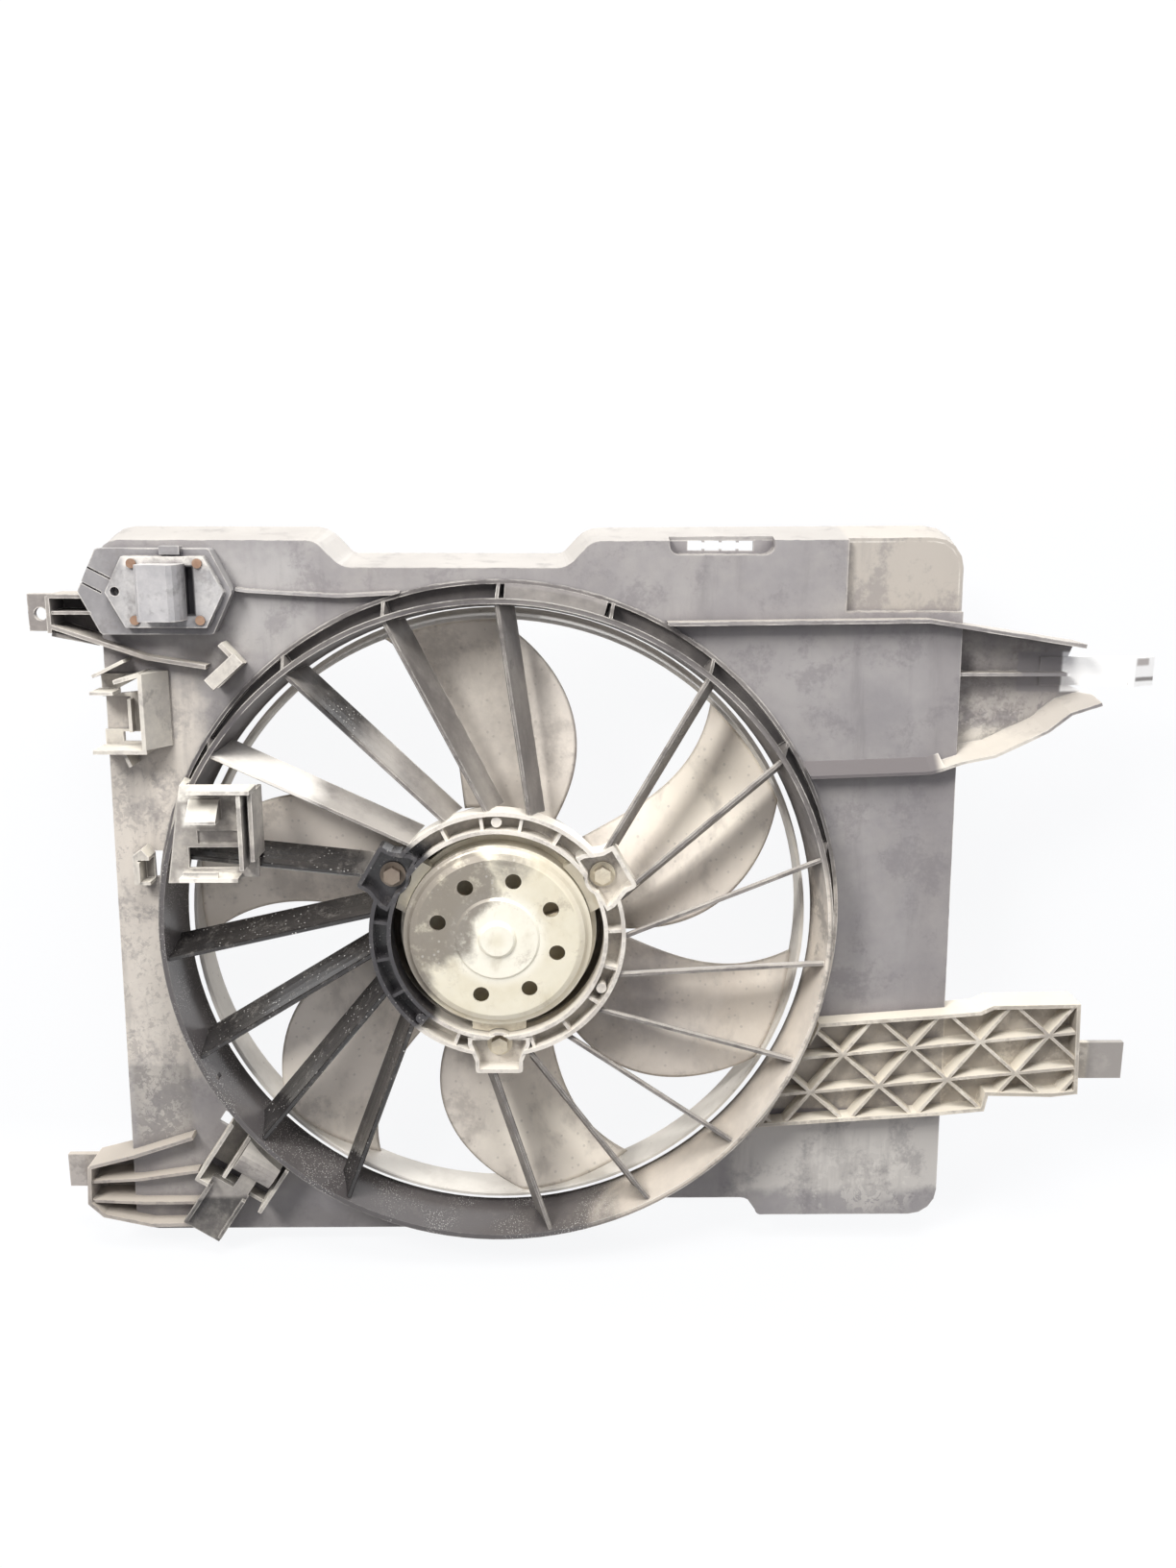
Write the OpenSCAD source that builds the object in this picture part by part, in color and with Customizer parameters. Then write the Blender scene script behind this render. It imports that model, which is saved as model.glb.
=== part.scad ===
// Radiator cooling fan: a ring fan on a flat motor, carried in a moulded shroud.
// The shroud seals on the radiator at the plane y = 0 and the fan axis is the Y axis.
// The motor side faces -Y and +Z is up. Every piece is drawn as seen from the motor side,
// with x to the right, y up and its height counted rearward from the radiator plane.

/* [Shroud] */
// Height of the panel's rear face above the radiator plane
panel_depth = 37; // [33:1:42]
// Wall thickness of the moulding
wall = 2.5; // [2:0.1:3]
// How far the rim flares outwards on its way to the radiator
rim_flare = 7; // [3:0.5:8]
// Top edge of the panel above the fan axis
panel_top = 240; // [236:1:250]
// Height of the lowered stretch of the top edge
panel_dip = 224; // [222:1:230]
// Left edge of the panel from the fan axis
panel_left = 239; // [236:1:250]
// Right edge of the panel from the fan axis
panel_right = 285; // [278:1:300]
// Lower left edge of the panel below the fan axis
panel_bottom = 219; // [217:1:223]
// Lower right edge of the panel below the fan axis
panel_foot = 211; // [207:1:216]
// How much wider the panel is at its foot, on each side
panel_spread = 9; // [0:1:12]
// How far the bulge round the ring reaches beyond the lip
bulge_w = 9; // [7:1:12]

/* [Fan tunnel] */
// Room between the blades' band and the tunnel's rear rim
tip_gap = 9.5; // [8:0.5:12]
// Room between the blades' band and the tunnel's front edge
throat_gap = 5; // [4:0.5:7]
// Height of the tunnel's rear rim above the radiator plane
tunnel_top = 70; // [64:1:74]
// Height of the tunnel's front edge above the radiator plane
tunnel_front = 32; // [28:1:33]
// Width of the trough, from the tunnel's rear rim to the outside of its lip
trough_w = 12; // [10:0.5:14]
// How far the lip stands proud of the panel
lip_rise = 3; // [1:0.5:5]
// Thickness of the gussets in the trough
gusset_t = 2; // [1.5:0.1:3]

/* [Stator] */
// Number of equal stator positions round the tunnel
vane_positions = 19; // [15:1:23]
// First of the two positions that carry no vane
open_position_a = 1; // [0:1:14]
// Second of the two positions that carry no vane
open_position_b = 10; // [0:1:14]
// Direction of the first vane's outer end, in degrees
vane_start = 89.6; // [80:0.1:100]
// Lag of a vane's inner end behind its outer end, in degrees
vane_lag = 15.3; // [8:0.1:18]
// Axial depth of a vane
vane_depth = 23; // [16:1:26]
// Sideways pitch of a vane over its depth
vane_pitch = 8; // [2:0.5:9]
// Thickness of a vane at its rear edge
vane_t = 3.2; // [2.4:0.1:4]

/* [Motor ring] */
// Outer radius of the motor ring
ring_r = 79.5; // [78:0.5:82]
// Inner radius of the motor ring
ring_bore = 66; // [64:0.5:67]
// Axial height of the motor ring
ring_h = 16; // [14:1:18]
// Pitch radius of the three motor bolts
bolt_circle = 75; // [74:0.5:76]
// Radius of a motor bolt
bolt_r = 3; // [2.5:0.1:3.2]
// Outer radius of a bolt lug from the fan axis
lug_r = 91; // [89:0.5:93]
// Width of a bolt lug
lug_w = 30; // [28:1:34]

/* [Motor] */
// Outer radius of the motor can
can_r = 58.5; // [56:0.5:60]
// Thickness of the pressed steel
steel = 1.5; // [1:0.1:2]
// Height of the can's front face above the radiator plane
can_front = 24; // [22:1:27]
// Height of the can's rear edge above the radiator plane
can_rear = 66; // [63:1:68]
// Outer radius of the end cap's flat
cap_r = 56; // [54:0.5:57]
// Height of the end cap's flat above the radiator plane
cap_top = 73; // [72:0.5:75]
// Pitch radius of the end cap's holes
vent_circle = 38; // [36:0.5:40]
// Radius of an end cap hole
vent_r = 5; // [3:0.25:6]
// Radius of the motor shaft
shaft_r = 4; // [3:0.25:5]
// Radial running clearance of the shaft in its bearings
bearing_gap = 0.04; // [0.02:0.01:0.08]
// Outer radius of the armature
core_r = 48; // [44:0.5:48.5]
// Number of armature slots
slot_count = 12; // [8:2:16]

/* [Fan] */
// Outer radius of the fan hub
hub_r = 72; // [70:0.5:74]
// Height of the hub's front face above the radiator plane
hub_front = 10; // [8:0.5:12]
// Height of the hub's rear edge above the radiator plane
hub_rear = 42; // [38:1:44]
// Wall thickness of the hub
hub_wall = 2.6; // [2:0.1:3]
// Outer radius of the band round the blade tips
band_r = 195.5; // [193:0.5:197]
// Thickness of the band
band_t = 2.4; // [2:0.1:3]
// Height of the band's front edge above the radiator plane
band_front = 13; // [11:0.5:15]
// Height of the band's rear edge above the radiator plane
band_rear = 38; // [36:0.5:40]
// Leading edge direction at the hub, for the first blade, in degrees
lead_hub = 109; // [100:0.5:115]
// Leading edge direction at mid span, in degrees
lead_mid = 104.5; // [98:0.5:110]
// Leading edge direction at the tip, in degrees
lead_tip = 112; // [104:0.5:118]
// Trailing edge direction at the hub, in degrees
trail_hub = 62; // [58:0.5:72]
// Trailing edge direction at mid span, in degrees
trail_mid = 68.5; // [62:0.5:76]
// Trailing edge direction at the tip, in degrees
trail_tip = 90; // [80:0.5:96]
// Greatest thickness of a blade
blade_t = 3.4; // [2.4:0.1:4]
// Camber of a blade
blade_camber = 3.5; // [1:0.5:5]

/* [Mounting arms] */
// Reach of the upper right snap finger from the fan axis
snap_reach = 412; // [404:1:420]
// Reach of the lower right arm from the fan axis
lattice_reach = 379; // [365:1:395]
// Length of the tab on the lower right arm
lattice_tab = 34; // [15:1:35]
// Distance between the crossings of the lattice
lattice_pitch = 45; // [36:1:52]
// Height of the lattice ribs above the panel
lattice_h = 12; // [6:1:16]
// Thickness of a rib
rib_t = 2; // [1.5:0.1:2.5]
// Reach of the two left arms from the fan axis
left_reach = 273; // [264:1:280]
// Height of the arm ribs above the panel
rib_h = 10; // [6:1:14]

/* [Resistor] */
// Width of the resistor carrier across its two points
carrier_w = 92; // [84:1:98]
// Height of the resistor carrier across its flats
carrier_h = 51; // [46:1:56]
// Height of the carrier above the panel
carrier_rise = 12; // [8:1:16]
// Radius of a rivet head
rivet_r = 2.8; // [2:0.1:3.4]

/* [Hidden] */
tunnel_r = band_r + tip_gap;
throat_r = band_r + throat_gap;
lip_r = tunnel_r + trough_w;
bulge_r = lip_r + bulge_w;

// Colours
dusty = [0.52, 0.49, 0.46];
pale = [0.66, 0.61, 0.54];
dark = [0.20, 0.19, 0.19];
blade_grey = [0.45, 0.42, 0.38];
zinc = [0.74, 0.71, 0.60];
copper = [0.72, 0.42, 0.25];
black = [0.10, 0.10, 0.10];

// Facets of the round parts
round_fn = 96;
small_fn = 32;
eps = 0.01;

// Heights that several pieces share
panel_floor = panel_depth - wall;
lip_top = panel_depth + lip_rise;
ring_floor = tunnel_top - ring_h;
ring_wall = 2.5;
cover_gap = 0.3;
vane_step = 360 / vane_positions;
bolt_angles = [150, 30, -90];

// Turns a piece drawn with its height upwards so that its height points rearward
module rearward() {
    rotate([90, 0, 0]) children();
}

function polar(r, a) = [r * cos(a), r * sin(a)];
function unit(v) = v / norm(v);
function to_hundredths(p) = [round(p.x * 100) / 100, round(p.y * 100) / 100];
function normal_out(p, q) = let (d = unit(q - p)) [d.y, -d.x];

// A closed outline moved outwards by d, each corner along its bisector
function shifted(points, d) = let (n = len(points)) [
    for (i = [0 : n - 1])
        let (
            before = normal_out(points[(i + n - 1) % n], points[i]),
            after = normal_out(points[i], points[(i + 1) % n])
        )
        points[i] + (before + after) * d / (1 + before * after)
];

// The arc that rounds corner b between a and c, as five points
function corner_arc(a, b, c, r) =
    let (
        u = unit(a - b),
        w = unit(c - b),
        half = acos(max(-1, min(1, u * w))) / 2,
        centre = b + unit(u + w) * r / sin(half),
        side = cross(b - a, c - b) > 0 ? 1 : -1,
        start = b + u * r / tan(half) - centre,
        from = atan2(start.y, start.x),
        sweep = side * (180 - 2 * half)
    )
    [for (k = [0 : 4]) centre + polar(r, from + sweep * k / 4)];

// A closed outline with each corner rounded by its radius, or left sharp where that is 0.
// grow moves it outwards, and the arcs keep their centres.
function rounded(corners, radii, grow = 0) =
    let (n = len(corners), moved = shifted(corners, grow))
    [
        for (i = [0 : n - 1])
            let (
                a = moved[(i + n - 1) % n],
                b = moved[i],
                c = moved[(i + 1) % n],
                side = cross(b - a, c - b) > 0 ? 1 : -1
            )
            each [for (p = radii[i] == 0 ? [b] : corner_arc(a, b, c, radii[i] + side * grow))
                to_hundredths(p)]
    ];

// Panel outline, anticlockwise from the lower left corner
dip_left = -94;
dip_right = 43;
dip_run = 15;
foot_left = 172;
foot_rise = 13;
foot_run = 5;
bulge_from = atan2(-panel_bottom, -sqrt(bulge_r * bulge_r - panel_bottom * panel_bottom)) + 360;
bulge_right = panel_foot - foot_rise;
bulge_to = atan2(-bulge_right, sqrt(bulge_r * bulge_r - bulge_right * bulge_right)) + 360;
bulge_steps = 10;
bulge_arc = [for (k = [0 : bulge_steps])
    polar(bulge_r, bulge_from + (bulge_to - bulge_from) * k / bulge_steps)];
panel_corners = concat(
    [[-panel_left - panel_spread, -panel_bottom]],
    bulge_arc,
    [
        [foot_left - foot_run, -bulge_right],
        [foot_left, -panel_foot],
        [panel_right + panel_spread, -panel_foot],
        [panel_right, panel_top + 2],
        [dip_right + dip_run, panel_top],
        [dip_right, panel_dip],
        [dip_left, panel_dip],
        [dip_left - dip_run, panel_top],
        [-panel_left, panel_top]
    ]
);
panel_radii = concat([14], [for (k = [0 : bulge_steps]) 0], [10, 4, 18, 18, 12, 14, 14, 12, 12]);

module panel_outline(grow = 0) {
    polygon(rounded(panel_corners, panel_radii, grow));
}

// A closed skin through a stack of outlines with the same number of points
module loft(outlines, heights) {
    n = len(outlines[0]);
    top = len(outlines) - 1;
    points = [for (k = [0 : top]) each [for (p = outlines[k]) [p.x, p.y, heights[k]]]];
    sides = [for (k = [0 : top - 1], i = [0 : n - 1])
        let (a = k * n + i, b = k * n + (i + 1) % n)
        each [[a, a + n, b], [b, a + n, b + n]]];
    polyhedron(points, concat(sides, [[for (i = [0 : n - 1]) i]],
        [[for (i = [0 : n - 1]) (top + 1) * n - 1 - i]]), convexity = 6);
}

// The space inside the rim's outer face, and that of the panel on top of it
module rim_space() {
    panel = rounded(panel_corners, panel_radii);
    foot = rounded(panel_corners, panel_radii, rim_flare);
    loft([foot, panel, panel], [0, panel_floor, panel_floor + wall / 2]);
}

module panel_space() {
    translate([0, 0, panel_floor]) linear_extrude(wall) panel_outline();
}

// A straight bar from p to q whose section is drawn in (left of the path, height)
module bar(p, q, section) {
    run = q - p;
    translate([p.x, p.y, 0])
        rotate([0, 0, atan2(run.y, run.x)])
        rotate([90, 0, 90])
        linear_extrude(norm(run)) polygon(section);
}

// An open path moved to its left by d, with mitred bends
function beside(points, d) = let (last = len(points) - 1) [
    for (i = [0 : last])
        let (
            before = -normal_out(points[max(i - 1, 0)], points[max(i, 1)]),
            after = -normal_out(points[min(i, last - 1)], points[min(i + 1, last)])
        )
        points[i] + (before + after) * d / (1 + before * after)
];

// A thin rib along a path, centred on it
module path_rib(points, t, z0, z1) {
    right = beside(points, -t / 2);
    left = beside(points, t / 2);
    translate([0, 0, z0]) linear_extrude(z1 - z0)
        polygon(concat(right, [for (i = [len(left) - 1 : -1 : 0]) left[i]]));
}

// A section in (left of the path, height) carried along a path with mitred bends
module swept(points, section) {
    n = len(section);
    last = len(points) - 1;
    rings = [for (s = section) beside(points, s[0])];
    corners = [for (i = [0 : last], j = [0 : n - 1])
        let (p = to_hundredths(rings[j][i])) [p.x, p.y, section[j][1]]];
    sides = [for (i = [0 : last - 1], j = [0 : n - 1])
        let (a = i * n + j, b = i * n + (j + 1) % n)
        each [[a, a + n, b], [b, a + n, b + n]]];
    polyhedron(corners, concat(sides, [[for (j = [0 : n - 1]) j]],
        [[for (j = [0 : n - 1]) (last + 1) * n - 1 - j]]), convexity = 6);
}

module block(x0, x1, y0, y1, z0, z1) {
    translate([x0, y0, z0]) cube([x1 - x0, y1 - y0, z1 - z0]);
}

// Top pocket with a toothed slot, and the lowered corner of the panel
pocket_x = 137;
pocket_w = 64;
pocket_floor = 232;
pocket_depth = 12;
pocket_slot_w = 42;
pocket_slot_h = 6;
corner_left = 214;
corner_foot = 198;
corner_depth = 6;
pocket_z = panel_depth - pocket_depth;
corner_z = panel_depth - corner_depth;

module pocket_cut() {
    translate([0, 0, pocket_z]) linear_extrude(pocket_depth + 1)
        offset(6) offset(-6)
            translate([pocket_x - pocket_w / 2, pocket_floor]) square([pocket_w, 40]);
}

module corner_cut() {
    block(corner_left, panel_right + 40, corner_foot, panel_top + 40, corner_z, panel_depth + 1);
}

// Openings of the panel beside the tunnel
clip_slot = [-216, 38];
clip_slot_w = 6;
clip_slot_h = 17;
plug_turn = -33;
plug_at = [-168, -160];
plug_slot = [-182.5, -138.5];

module shroud_panel() color(dusty) rearward() {
    difference() {
        union() {
            difference() {
                translate([0, 0, panel_floor]) linear_extrude(wall) panel_outline();
                pocket_cut();
                corner_cut();
            }
            intersection() {
                union() {
                    pocket_tray();
                    corner_tray();
                }
                shroud_core_inner();
            }
            path_rib([[-150, 210], [-96, 207], [-58, 209]], rib_t, panel_depth - eps,
                panel_depth + rib_h / 2);
            path_rib([[-157, 211], [-150, 210]], rib_t, panel_depth - eps, panel_depth + rib_h / 2);
        }
        translate([0, 0, -1]) cylinder(r = lip_r, h = panel_depth + rib_h + 2, $fn = round_fn);
        block(clip_slot.x - clip_slot_w / 2, clip_slot.x + clip_slot_w / 2,
            clip_slot.y - clip_slot_h / 2, clip_slot.y + clip_slot_h / 2, 0, panel_depth + 1);
        translate([plug_slot.x, plug_slot.y, 0]) rotate(plug_turn)
            block(-4, 4, -4.5, 4.5, 0, panel_depth + 1);
        resistor_window();
        relay_windows();
    }
}

// Inside of the rim's outer face, one wall in from it, where trays may lie
module shroud_core_inner() {
    panel = rounded(panel_corners, panel_radii, -wall);
    foot = rounded(panel_corners, panel_radii, rim_flare - wall);
    loft([foot, panel, panel], [0, panel_floor, panel_depth - eps]);
}

module pocket_tray() {
    half = pocket_w / 2;
    difference() {
        translate([0, 0, pocket_z - wall]) linear_extrude(pocket_depth + wall - eps)
            offset(6 + wall) offset(-6)
                translate([pocket_x - half, pocket_floor]) square([pocket_w, 40]);
        pocket_cut();
        pocket_slot();
    }
}

module pocket_slot() {
    teeth = 4;
    gap = pocket_slot_w / teeth;
    for (k = [0 : teeth - 1])
        block(pocket_x - pocket_slot_w / 2 + k * gap + 0.8, pocket_x - pocket_slot_w / 2 + (k + 1) * gap - 0.8,
            pocket_floor + 2, pocket_floor + 2 + pocket_slot_h, pocket_z - wall - 1, pocket_z + 1);
    block(pocket_x - pocket_slot_w / 2 + 0.8, pocket_x + pocket_slot_w / 2 - 0.8,
        pocket_floor + 3, pocket_floor + 1 + pocket_slot_h, pocket_z - wall - 1, pocket_z + 1);
}

module corner_tray() {
    difference() {
        block(corner_left - wall, panel_right + 30, corner_foot - wall, panel_top + 30,
            corner_z - wall, panel_depth - eps);
        corner_cut();
    }
}

module shroud_rim() color(dusty) rearward() {
    difference() {
        rim_tube();
        pocket_cut();
        corner_cut();
    }
}

// The flared wall round the panel: outer and inner skins joined at both edges
module rim_tube() {
    rings = [
        [rounded(panel_corners, panel_radii, rim_flare), 0],
        [rounded(panel_corners, panel_radii), panel_floor],
        [rounded(panel_corners, panel_radii, -wall), panel_floor],
        [rounded(panel_corners, panel_radii, rim_flare - wall), 0]
    ];
    n = len(rings[0][0]);
    points = [for (ring = rings) each [for (p = ring[0]) [p.x, p.y, ring[1]]]];
    polyhedron(points, [for (k = [0 : 3], i = [0 : n - 1])
        let (
            j = (i + 1) % n,
            a = k * n + i,
            b = k * n + j,
            c = ((k + 1) % 4) * n + i,
            d = ((k + 1) % 4) * n + j
        )
        each [[a, c, b], [b, c, d]]], convexity = 8);
}

// Fan tunnel: lip, trough and wall in one revolve, with gussets across the trough
trough_r = lip_r - wall;
trough_floor = tunnel_front + wall;
bracket_position = 15;
wall_slot_at = -151.8;
fill_from = 71.6;
fill_to = 88.6;
fill_top = 52;

function tunnel_in(z) = throat_r + (tunnel_r - throat_r) * (z - tunnel_front) / (tunnel_top - tunnel_front);

module fan_tunnel() color(pale) rearward() {
    difference() {
        rotate_extrude($fn = round_fn) polygon([
            [tunnel_in(tunnel_front), tunnel_front],
            [lip_r, tunnel_front],
            [lip_r, lip_top],
            [trough_r, lip_top],
            [trough_r, trough_floor],
            [tunnel_in(trough_floor) + wall, trough_floor],
            [tunnel_in(tunnel_top - 4) + wall, tunnel_top - 4],
            [tunnel_r + wall + 0.8, tunnel_top - 3],
            [tunnel_r + wall + 0.8, tunnel_top],
            [tunnel_r, tunnel_top]
        ]);
        rotate([0, 0, wall_slot_at]) block(throat_r, tunnel_r + wall + 2, -1.5, 1.5, tunnel_top - 12, tunnel_top - 5.5);
    }
    for (k = [0 : vane_positions - 1])
        if (k != bracket_position) rotate([0, 0, vane_start - k * vane_step]) gusset();
    rotate([0, 0, fill_from])
        rotate_extrude(angle = fill_to - fill_from, $fn = round_fn) polygon([
            [tunnel_in(trough_floor) + wall - 0.5, trough_floor - 0.5],
            [trough_r + 0.5, trough_floor - 0.5],
            [trough_r + 0.5, lip_top],
            [tunnel_in(fill_top) + wall - 0.5, fill_top]
        ]);
}

module gusset() {
    rotate([90, 0, 0]) translate([0, 0, -gusset_t / 2]) linear_extrude(gusset_t) polygon([
        [tunnel_in(trough_floor) + wall - 0.5, trough_floor - 0.5],
        [trough_r + 0.5, trough_floor - 0.5],
        [trough_r + 0.5, lip_top],
        [tunnel_r + wall - 0.2, tunnel_top - 5]
    ]);
}

// Stator vanes: straight, pitched, thicker at the rear edge
vane_top = tunnel_top - 2;
vane_section = concat(
    [for (s = [0 : 0.25 : 1]) [-vane_pitch * s * s * 0.4 - vane_pitch * s * 0.6 - vane_t / 2 * (1 - 0.35 * s),
        vane_top - 1.2 - (vane_depth - 1.2) * s]],
    [for (s = [1 : -0.25 : 0]) [-vane_pitch * s * s * 0.4 - vane_pitch * s * 0.6 + vane_t / 2 * (1 - 0.35 * s),
        vane_top - 1.2 - (vane_depth - 1.2) * s]],
    [[vane_t * 0.28, vane_top], [-vane_t * 0.28, vane_top]]
);

function has_vane(k) = k != open_position_a && k != open_position_b;

module stator_vanes() color(dark) rearward() {
    difference() {
        intersection() {
            union() {
                for (k = [0 : vane_positions - 1])
                    if (has_vane(k)) {
                        a = vane_start - k * vane_step;
                        bar(polar(ring_r - 4, a - vane_lag), polar(tunnel_r + 3, a), vane_section);
                    }
            }
            rotate_extrude($fn = round_fn) polygon([
                [ring_r, tunnel_front],
                [tunnel_in(tunnel_front), tunnel_front],
                [tunnel_r, tunnel_top],
                [ring_r, tunnel_top]
            ]);
        }
        for (a = bolt_angles) rotate([0, 0, a]) lug_space();
    }
}

// Motor ring: a channel open to the rear, with ribs, and a lug for each motor bolt
lug_floor = ring_floor + 4;
head_room = 9.5;

lug_splay = 4.5;
lug_neck = 8;

// Outline of a lug: parallel sides at its end, splayed where it meets the ring
module lug_outline() {
    half = lug_w / 2;
    offset(2) offset(-2) polygon([
        [ring_bore - 12, -half - lug_splay], [ring_bore + 6, -half - lug_splay], [lug_r - lug_neck, -half],
        [lug_r, -half], [lug_r, half], [lug_r - lug_neck, half], [ring_bore + 6, half + lug_splay],
        [ring_bore - 12, half + lug_splay]
    ]);
}

module lug_body() {
    translate([0, 0, ring_floor + 0.3]) linear_extrude(ring_h - 0.9) intersection() {
        lug_outline();
        translate([ring_bore + 1, -lug_w]) square([60, 2 * lug_w]);
    }
}

// The whole column a lug and its ear stand in, which the vanes stop short of
module lug_space() {
    translate([0, 0, ring_floor]) linear_extrude(ring_h + 1) lug_outline();
    block(ring_bore - 12, lug_r, -lug_w / 2 - lug_splay - 0.5, lug_w / 2 + lug_splay + 0.5,
        ring_floor - 15, ring_floor + eps);
}

module motor_ring() color(dusty) rearward() {
    difference() {
        union() {
            difference() {
                rotate_extrude($fn = round_fn) polygon([
                    [ring_bore, ring_floor],
                    [ring_r, ring_floor],
                    [ring_r, tunnel_top],
                    [ring_bore, tunnel_top]
                ]);
                rotate_extrude($fn = round_fn) polygon([
                    [ring_bore + ring_wall, ring_floor + ring_wall],
                    [ring_r - ring_wall, ring_floor + ring_wall],
                    [ring_r - ring_wall, tunnel_top + 1],
                    [ring_bore + ring_wall, tunnel_top + 1]
                ]);
            }
            for (k = [0 : vane_positions - 1])
                rotate([0, 0, vane_start - vane_lag + 4 - k * vane_step])
                    block(ring_bore + 1, ring_r - 1, -gusset_t / 2, gusset_t / 2, ring_floor + 1,
                        tunnel_top - 1.5);
            for (a = bolt_angles) rotate([0, 0, a]) lug_body();
            for (a = bolt_angles) translate(polar(bolt_circle, a))
                translate([0, 0, ring_floor + 0.6]) cylinder(r = head_room + 1.8, h = ring_h - 1.8, $fn = small_fn);
            for (a = [90, -28, -132]) translate(polar(ring_r - 6.5, a))
                translate([0, 0, ring_floor]) cylinder(r = 3.2, h = ring_h - 1.5, $fn = small_fn);
        }
        for (a = bolt_angles) rotate([0, 0, a]) {
            translate([0, 0, lug_floor]) linear_extrude(ring_h) intersection() {
                offset(-ring_wall) lug_outline();
                translate([ring_bore + ring_wall, -lug_w]) square([60, 2 * lug_w]);
            }
            translate([bolt_circle, 0, lug_floor]) cylinder(r = head_room, h = ring_h, $fn = small_fn);
            translate([bolt_circle, 0, ring_floor - 1])
                cylinder(r = bolt_r + 0.4, h = ring_h, $fn = small_fn);
        }
    }
}

// Mounting arms. What lies inside the shroud's own outline stands on its panel.
arm_floor = 22;
finger_w = 18;
upper_tip = [361, 178];
lower_tip = [372, 145];

module arm_upper_right() color(dusty) rearward() {
    difference() {
        union() {
            translate([0, 0, arm_floor]) linear_extrude(wall) polygon([
                [panel_right - 10, 190], upper_tip, [355, 163], [353, 154], lower_tip,
                [352, 137], [338, 126], [307, 111], [287, 107], [panel_right - 10, 102]
            ]);
            path_rib([[panel_right - 10, 191.3], [upper_tip.x - 1, upper_tip.y]], wall,
                arm_floor, panel_depth + rib_h);
            swept([[panel_right - 8, 104.4], [288, 108.1], [308, 112.3], [339, 127.5], [353, 138.8], lower_tip],
                lower_flange);
            path_rib([[panel_right - 10, 159], [356, 159]], rib_t, arm_floor + 1, panel_depth - 2);
            block(340, snap_reach - 8, 160 - finger_w / 2, 160 + finger_w / 2,
                arm_floor, arm_floor + wall + 1);
            snap_barb();
        }
        rim_space();
        panel_space();
    }
    difference() {
        union() {
            path_rib([[104, 191], [263, 193.2], [panel_right - 9, 191.2]], wall,
                panel_depth, panel_depth + rib_h);
            swept([[190, 98.7], [269, 101.8], [panel_right - 7.5, 104.4]], panel_flange);
        }
        translate([0, 0, -1]) cylinder(r = lip_r + 0.02, h = 80, $fn = round_fn);
    }
}

// Flange sections, clockwise as seen along the path
lower_flange = [[-1.2, arm_floor - 0.6], [wall, arm_floor - 0.6], [wall + 1.5, arm_floor + wall + 0.6],
    [-2, panel_depth + rib_h - 0.5], [-4, panel_depth + rib_h - 0.5], [-2.2, arm_floor + wall + 0.6]];
panel_flange = [[0, panel_depth], [5.5, panel_depth], [-2, panel_depth + rib_h - 0.5],
    [-4, panel_depth + rib_h - 0.5]];

module snap_barb() {
    translate([0, 160 + finger_w / 2, arm_floor + wall + 1]) rotate([90, 0, 0])
        linear_extrude(finger_w) polygon([
            [snap_reach - 24, -wall - 1], [snap_reach - 6, -wall - 1], [snap_reach, 0],
            [snap_reach - 14, 5.5], [snap_reach - 18, 5.5], [snap_reach - 16, 0], [snap_reach - 24, 0]
        ]);
}

// Lattice arm: an outline with edge walls, filled with crossing ribs
lattice_tilt = 5.5;
lattice_rows = [[[223, -88], 4], [[199.5, -113], 4]];
lattice_row = 24.5;
lattice_bend = 318;

lattice_outline = [[168, -140], [227, -136], [288, -132], [lattice_bend, -129],
    [lattice_bend + 2, -118], [lattice_reach - 17, -119], [lattice_reach, -117],
    [lattice_reach - 3, -54], [lattice_bend + 1, -55], [311, -59], [287, -61], [206, -67]];

module lattice_shape() {
    polygon(lattice_outline);
}

// The two families of diagonal ribs and the long ribs, as a flat pattern
module lattice_pattern() {
    origin = [223, -89];
    along = polar(1, lattice_tilt);
    across = polar(1, lattice_tilt + 90);
    lean = atan2(lattice_row, lattice_pitch / 2);
    reach = 140;
    for (k = [-3 : 5]) {
        at = origin + along * (k * lattice_pitch);
        translate(at) rotate(lattice_tilt + lean) square([reach, rib_t], center = true);
        translate(at) rotate(lattice_tilt - lean) square([reach, rib_t], center = true);
    }
    for (row = [0, -1])
        translate(origin + across * (row * lattice_row)) rotate(lattice_tilt)
            translate([-60, -rib_t / 2]) square([reach * 2, rib_t]);
}

module arm_lower_right() color(pale) rearward() {
    difference() {
        union() {
            translate([0, 0, panel_floor]) linear_extrude(wall) lattice_shape();
            translate([0, 0, panel_depth - eps]) linear_extrude(lattice_h - 1 + eps) intersection() {
                lattice_shape();
                lattice_pattern();
            }
            translate([0, 0, panel_floor - 8]) linear_extrude(8 + wall + lattice_h) difference() {
                lattice_shape();
                offset(delta = -wall) lattice_shape();
            }
            block(lattice_reach - 8, lattice_reach + lattice_tab, -112.5, -87, panel_floor - 4, panel_floor);
            block(lattice_reach - 10, lattice_reach - 6, -112.5, -87, arm_floor + 4, panel_floor + 1);
        }
        rim_space();
        panel_space();
        translate([0, 0, -1]) cylinder(r = lip_r + 0.02, h = 80, $fn = round_fn);
    }
}

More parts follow.
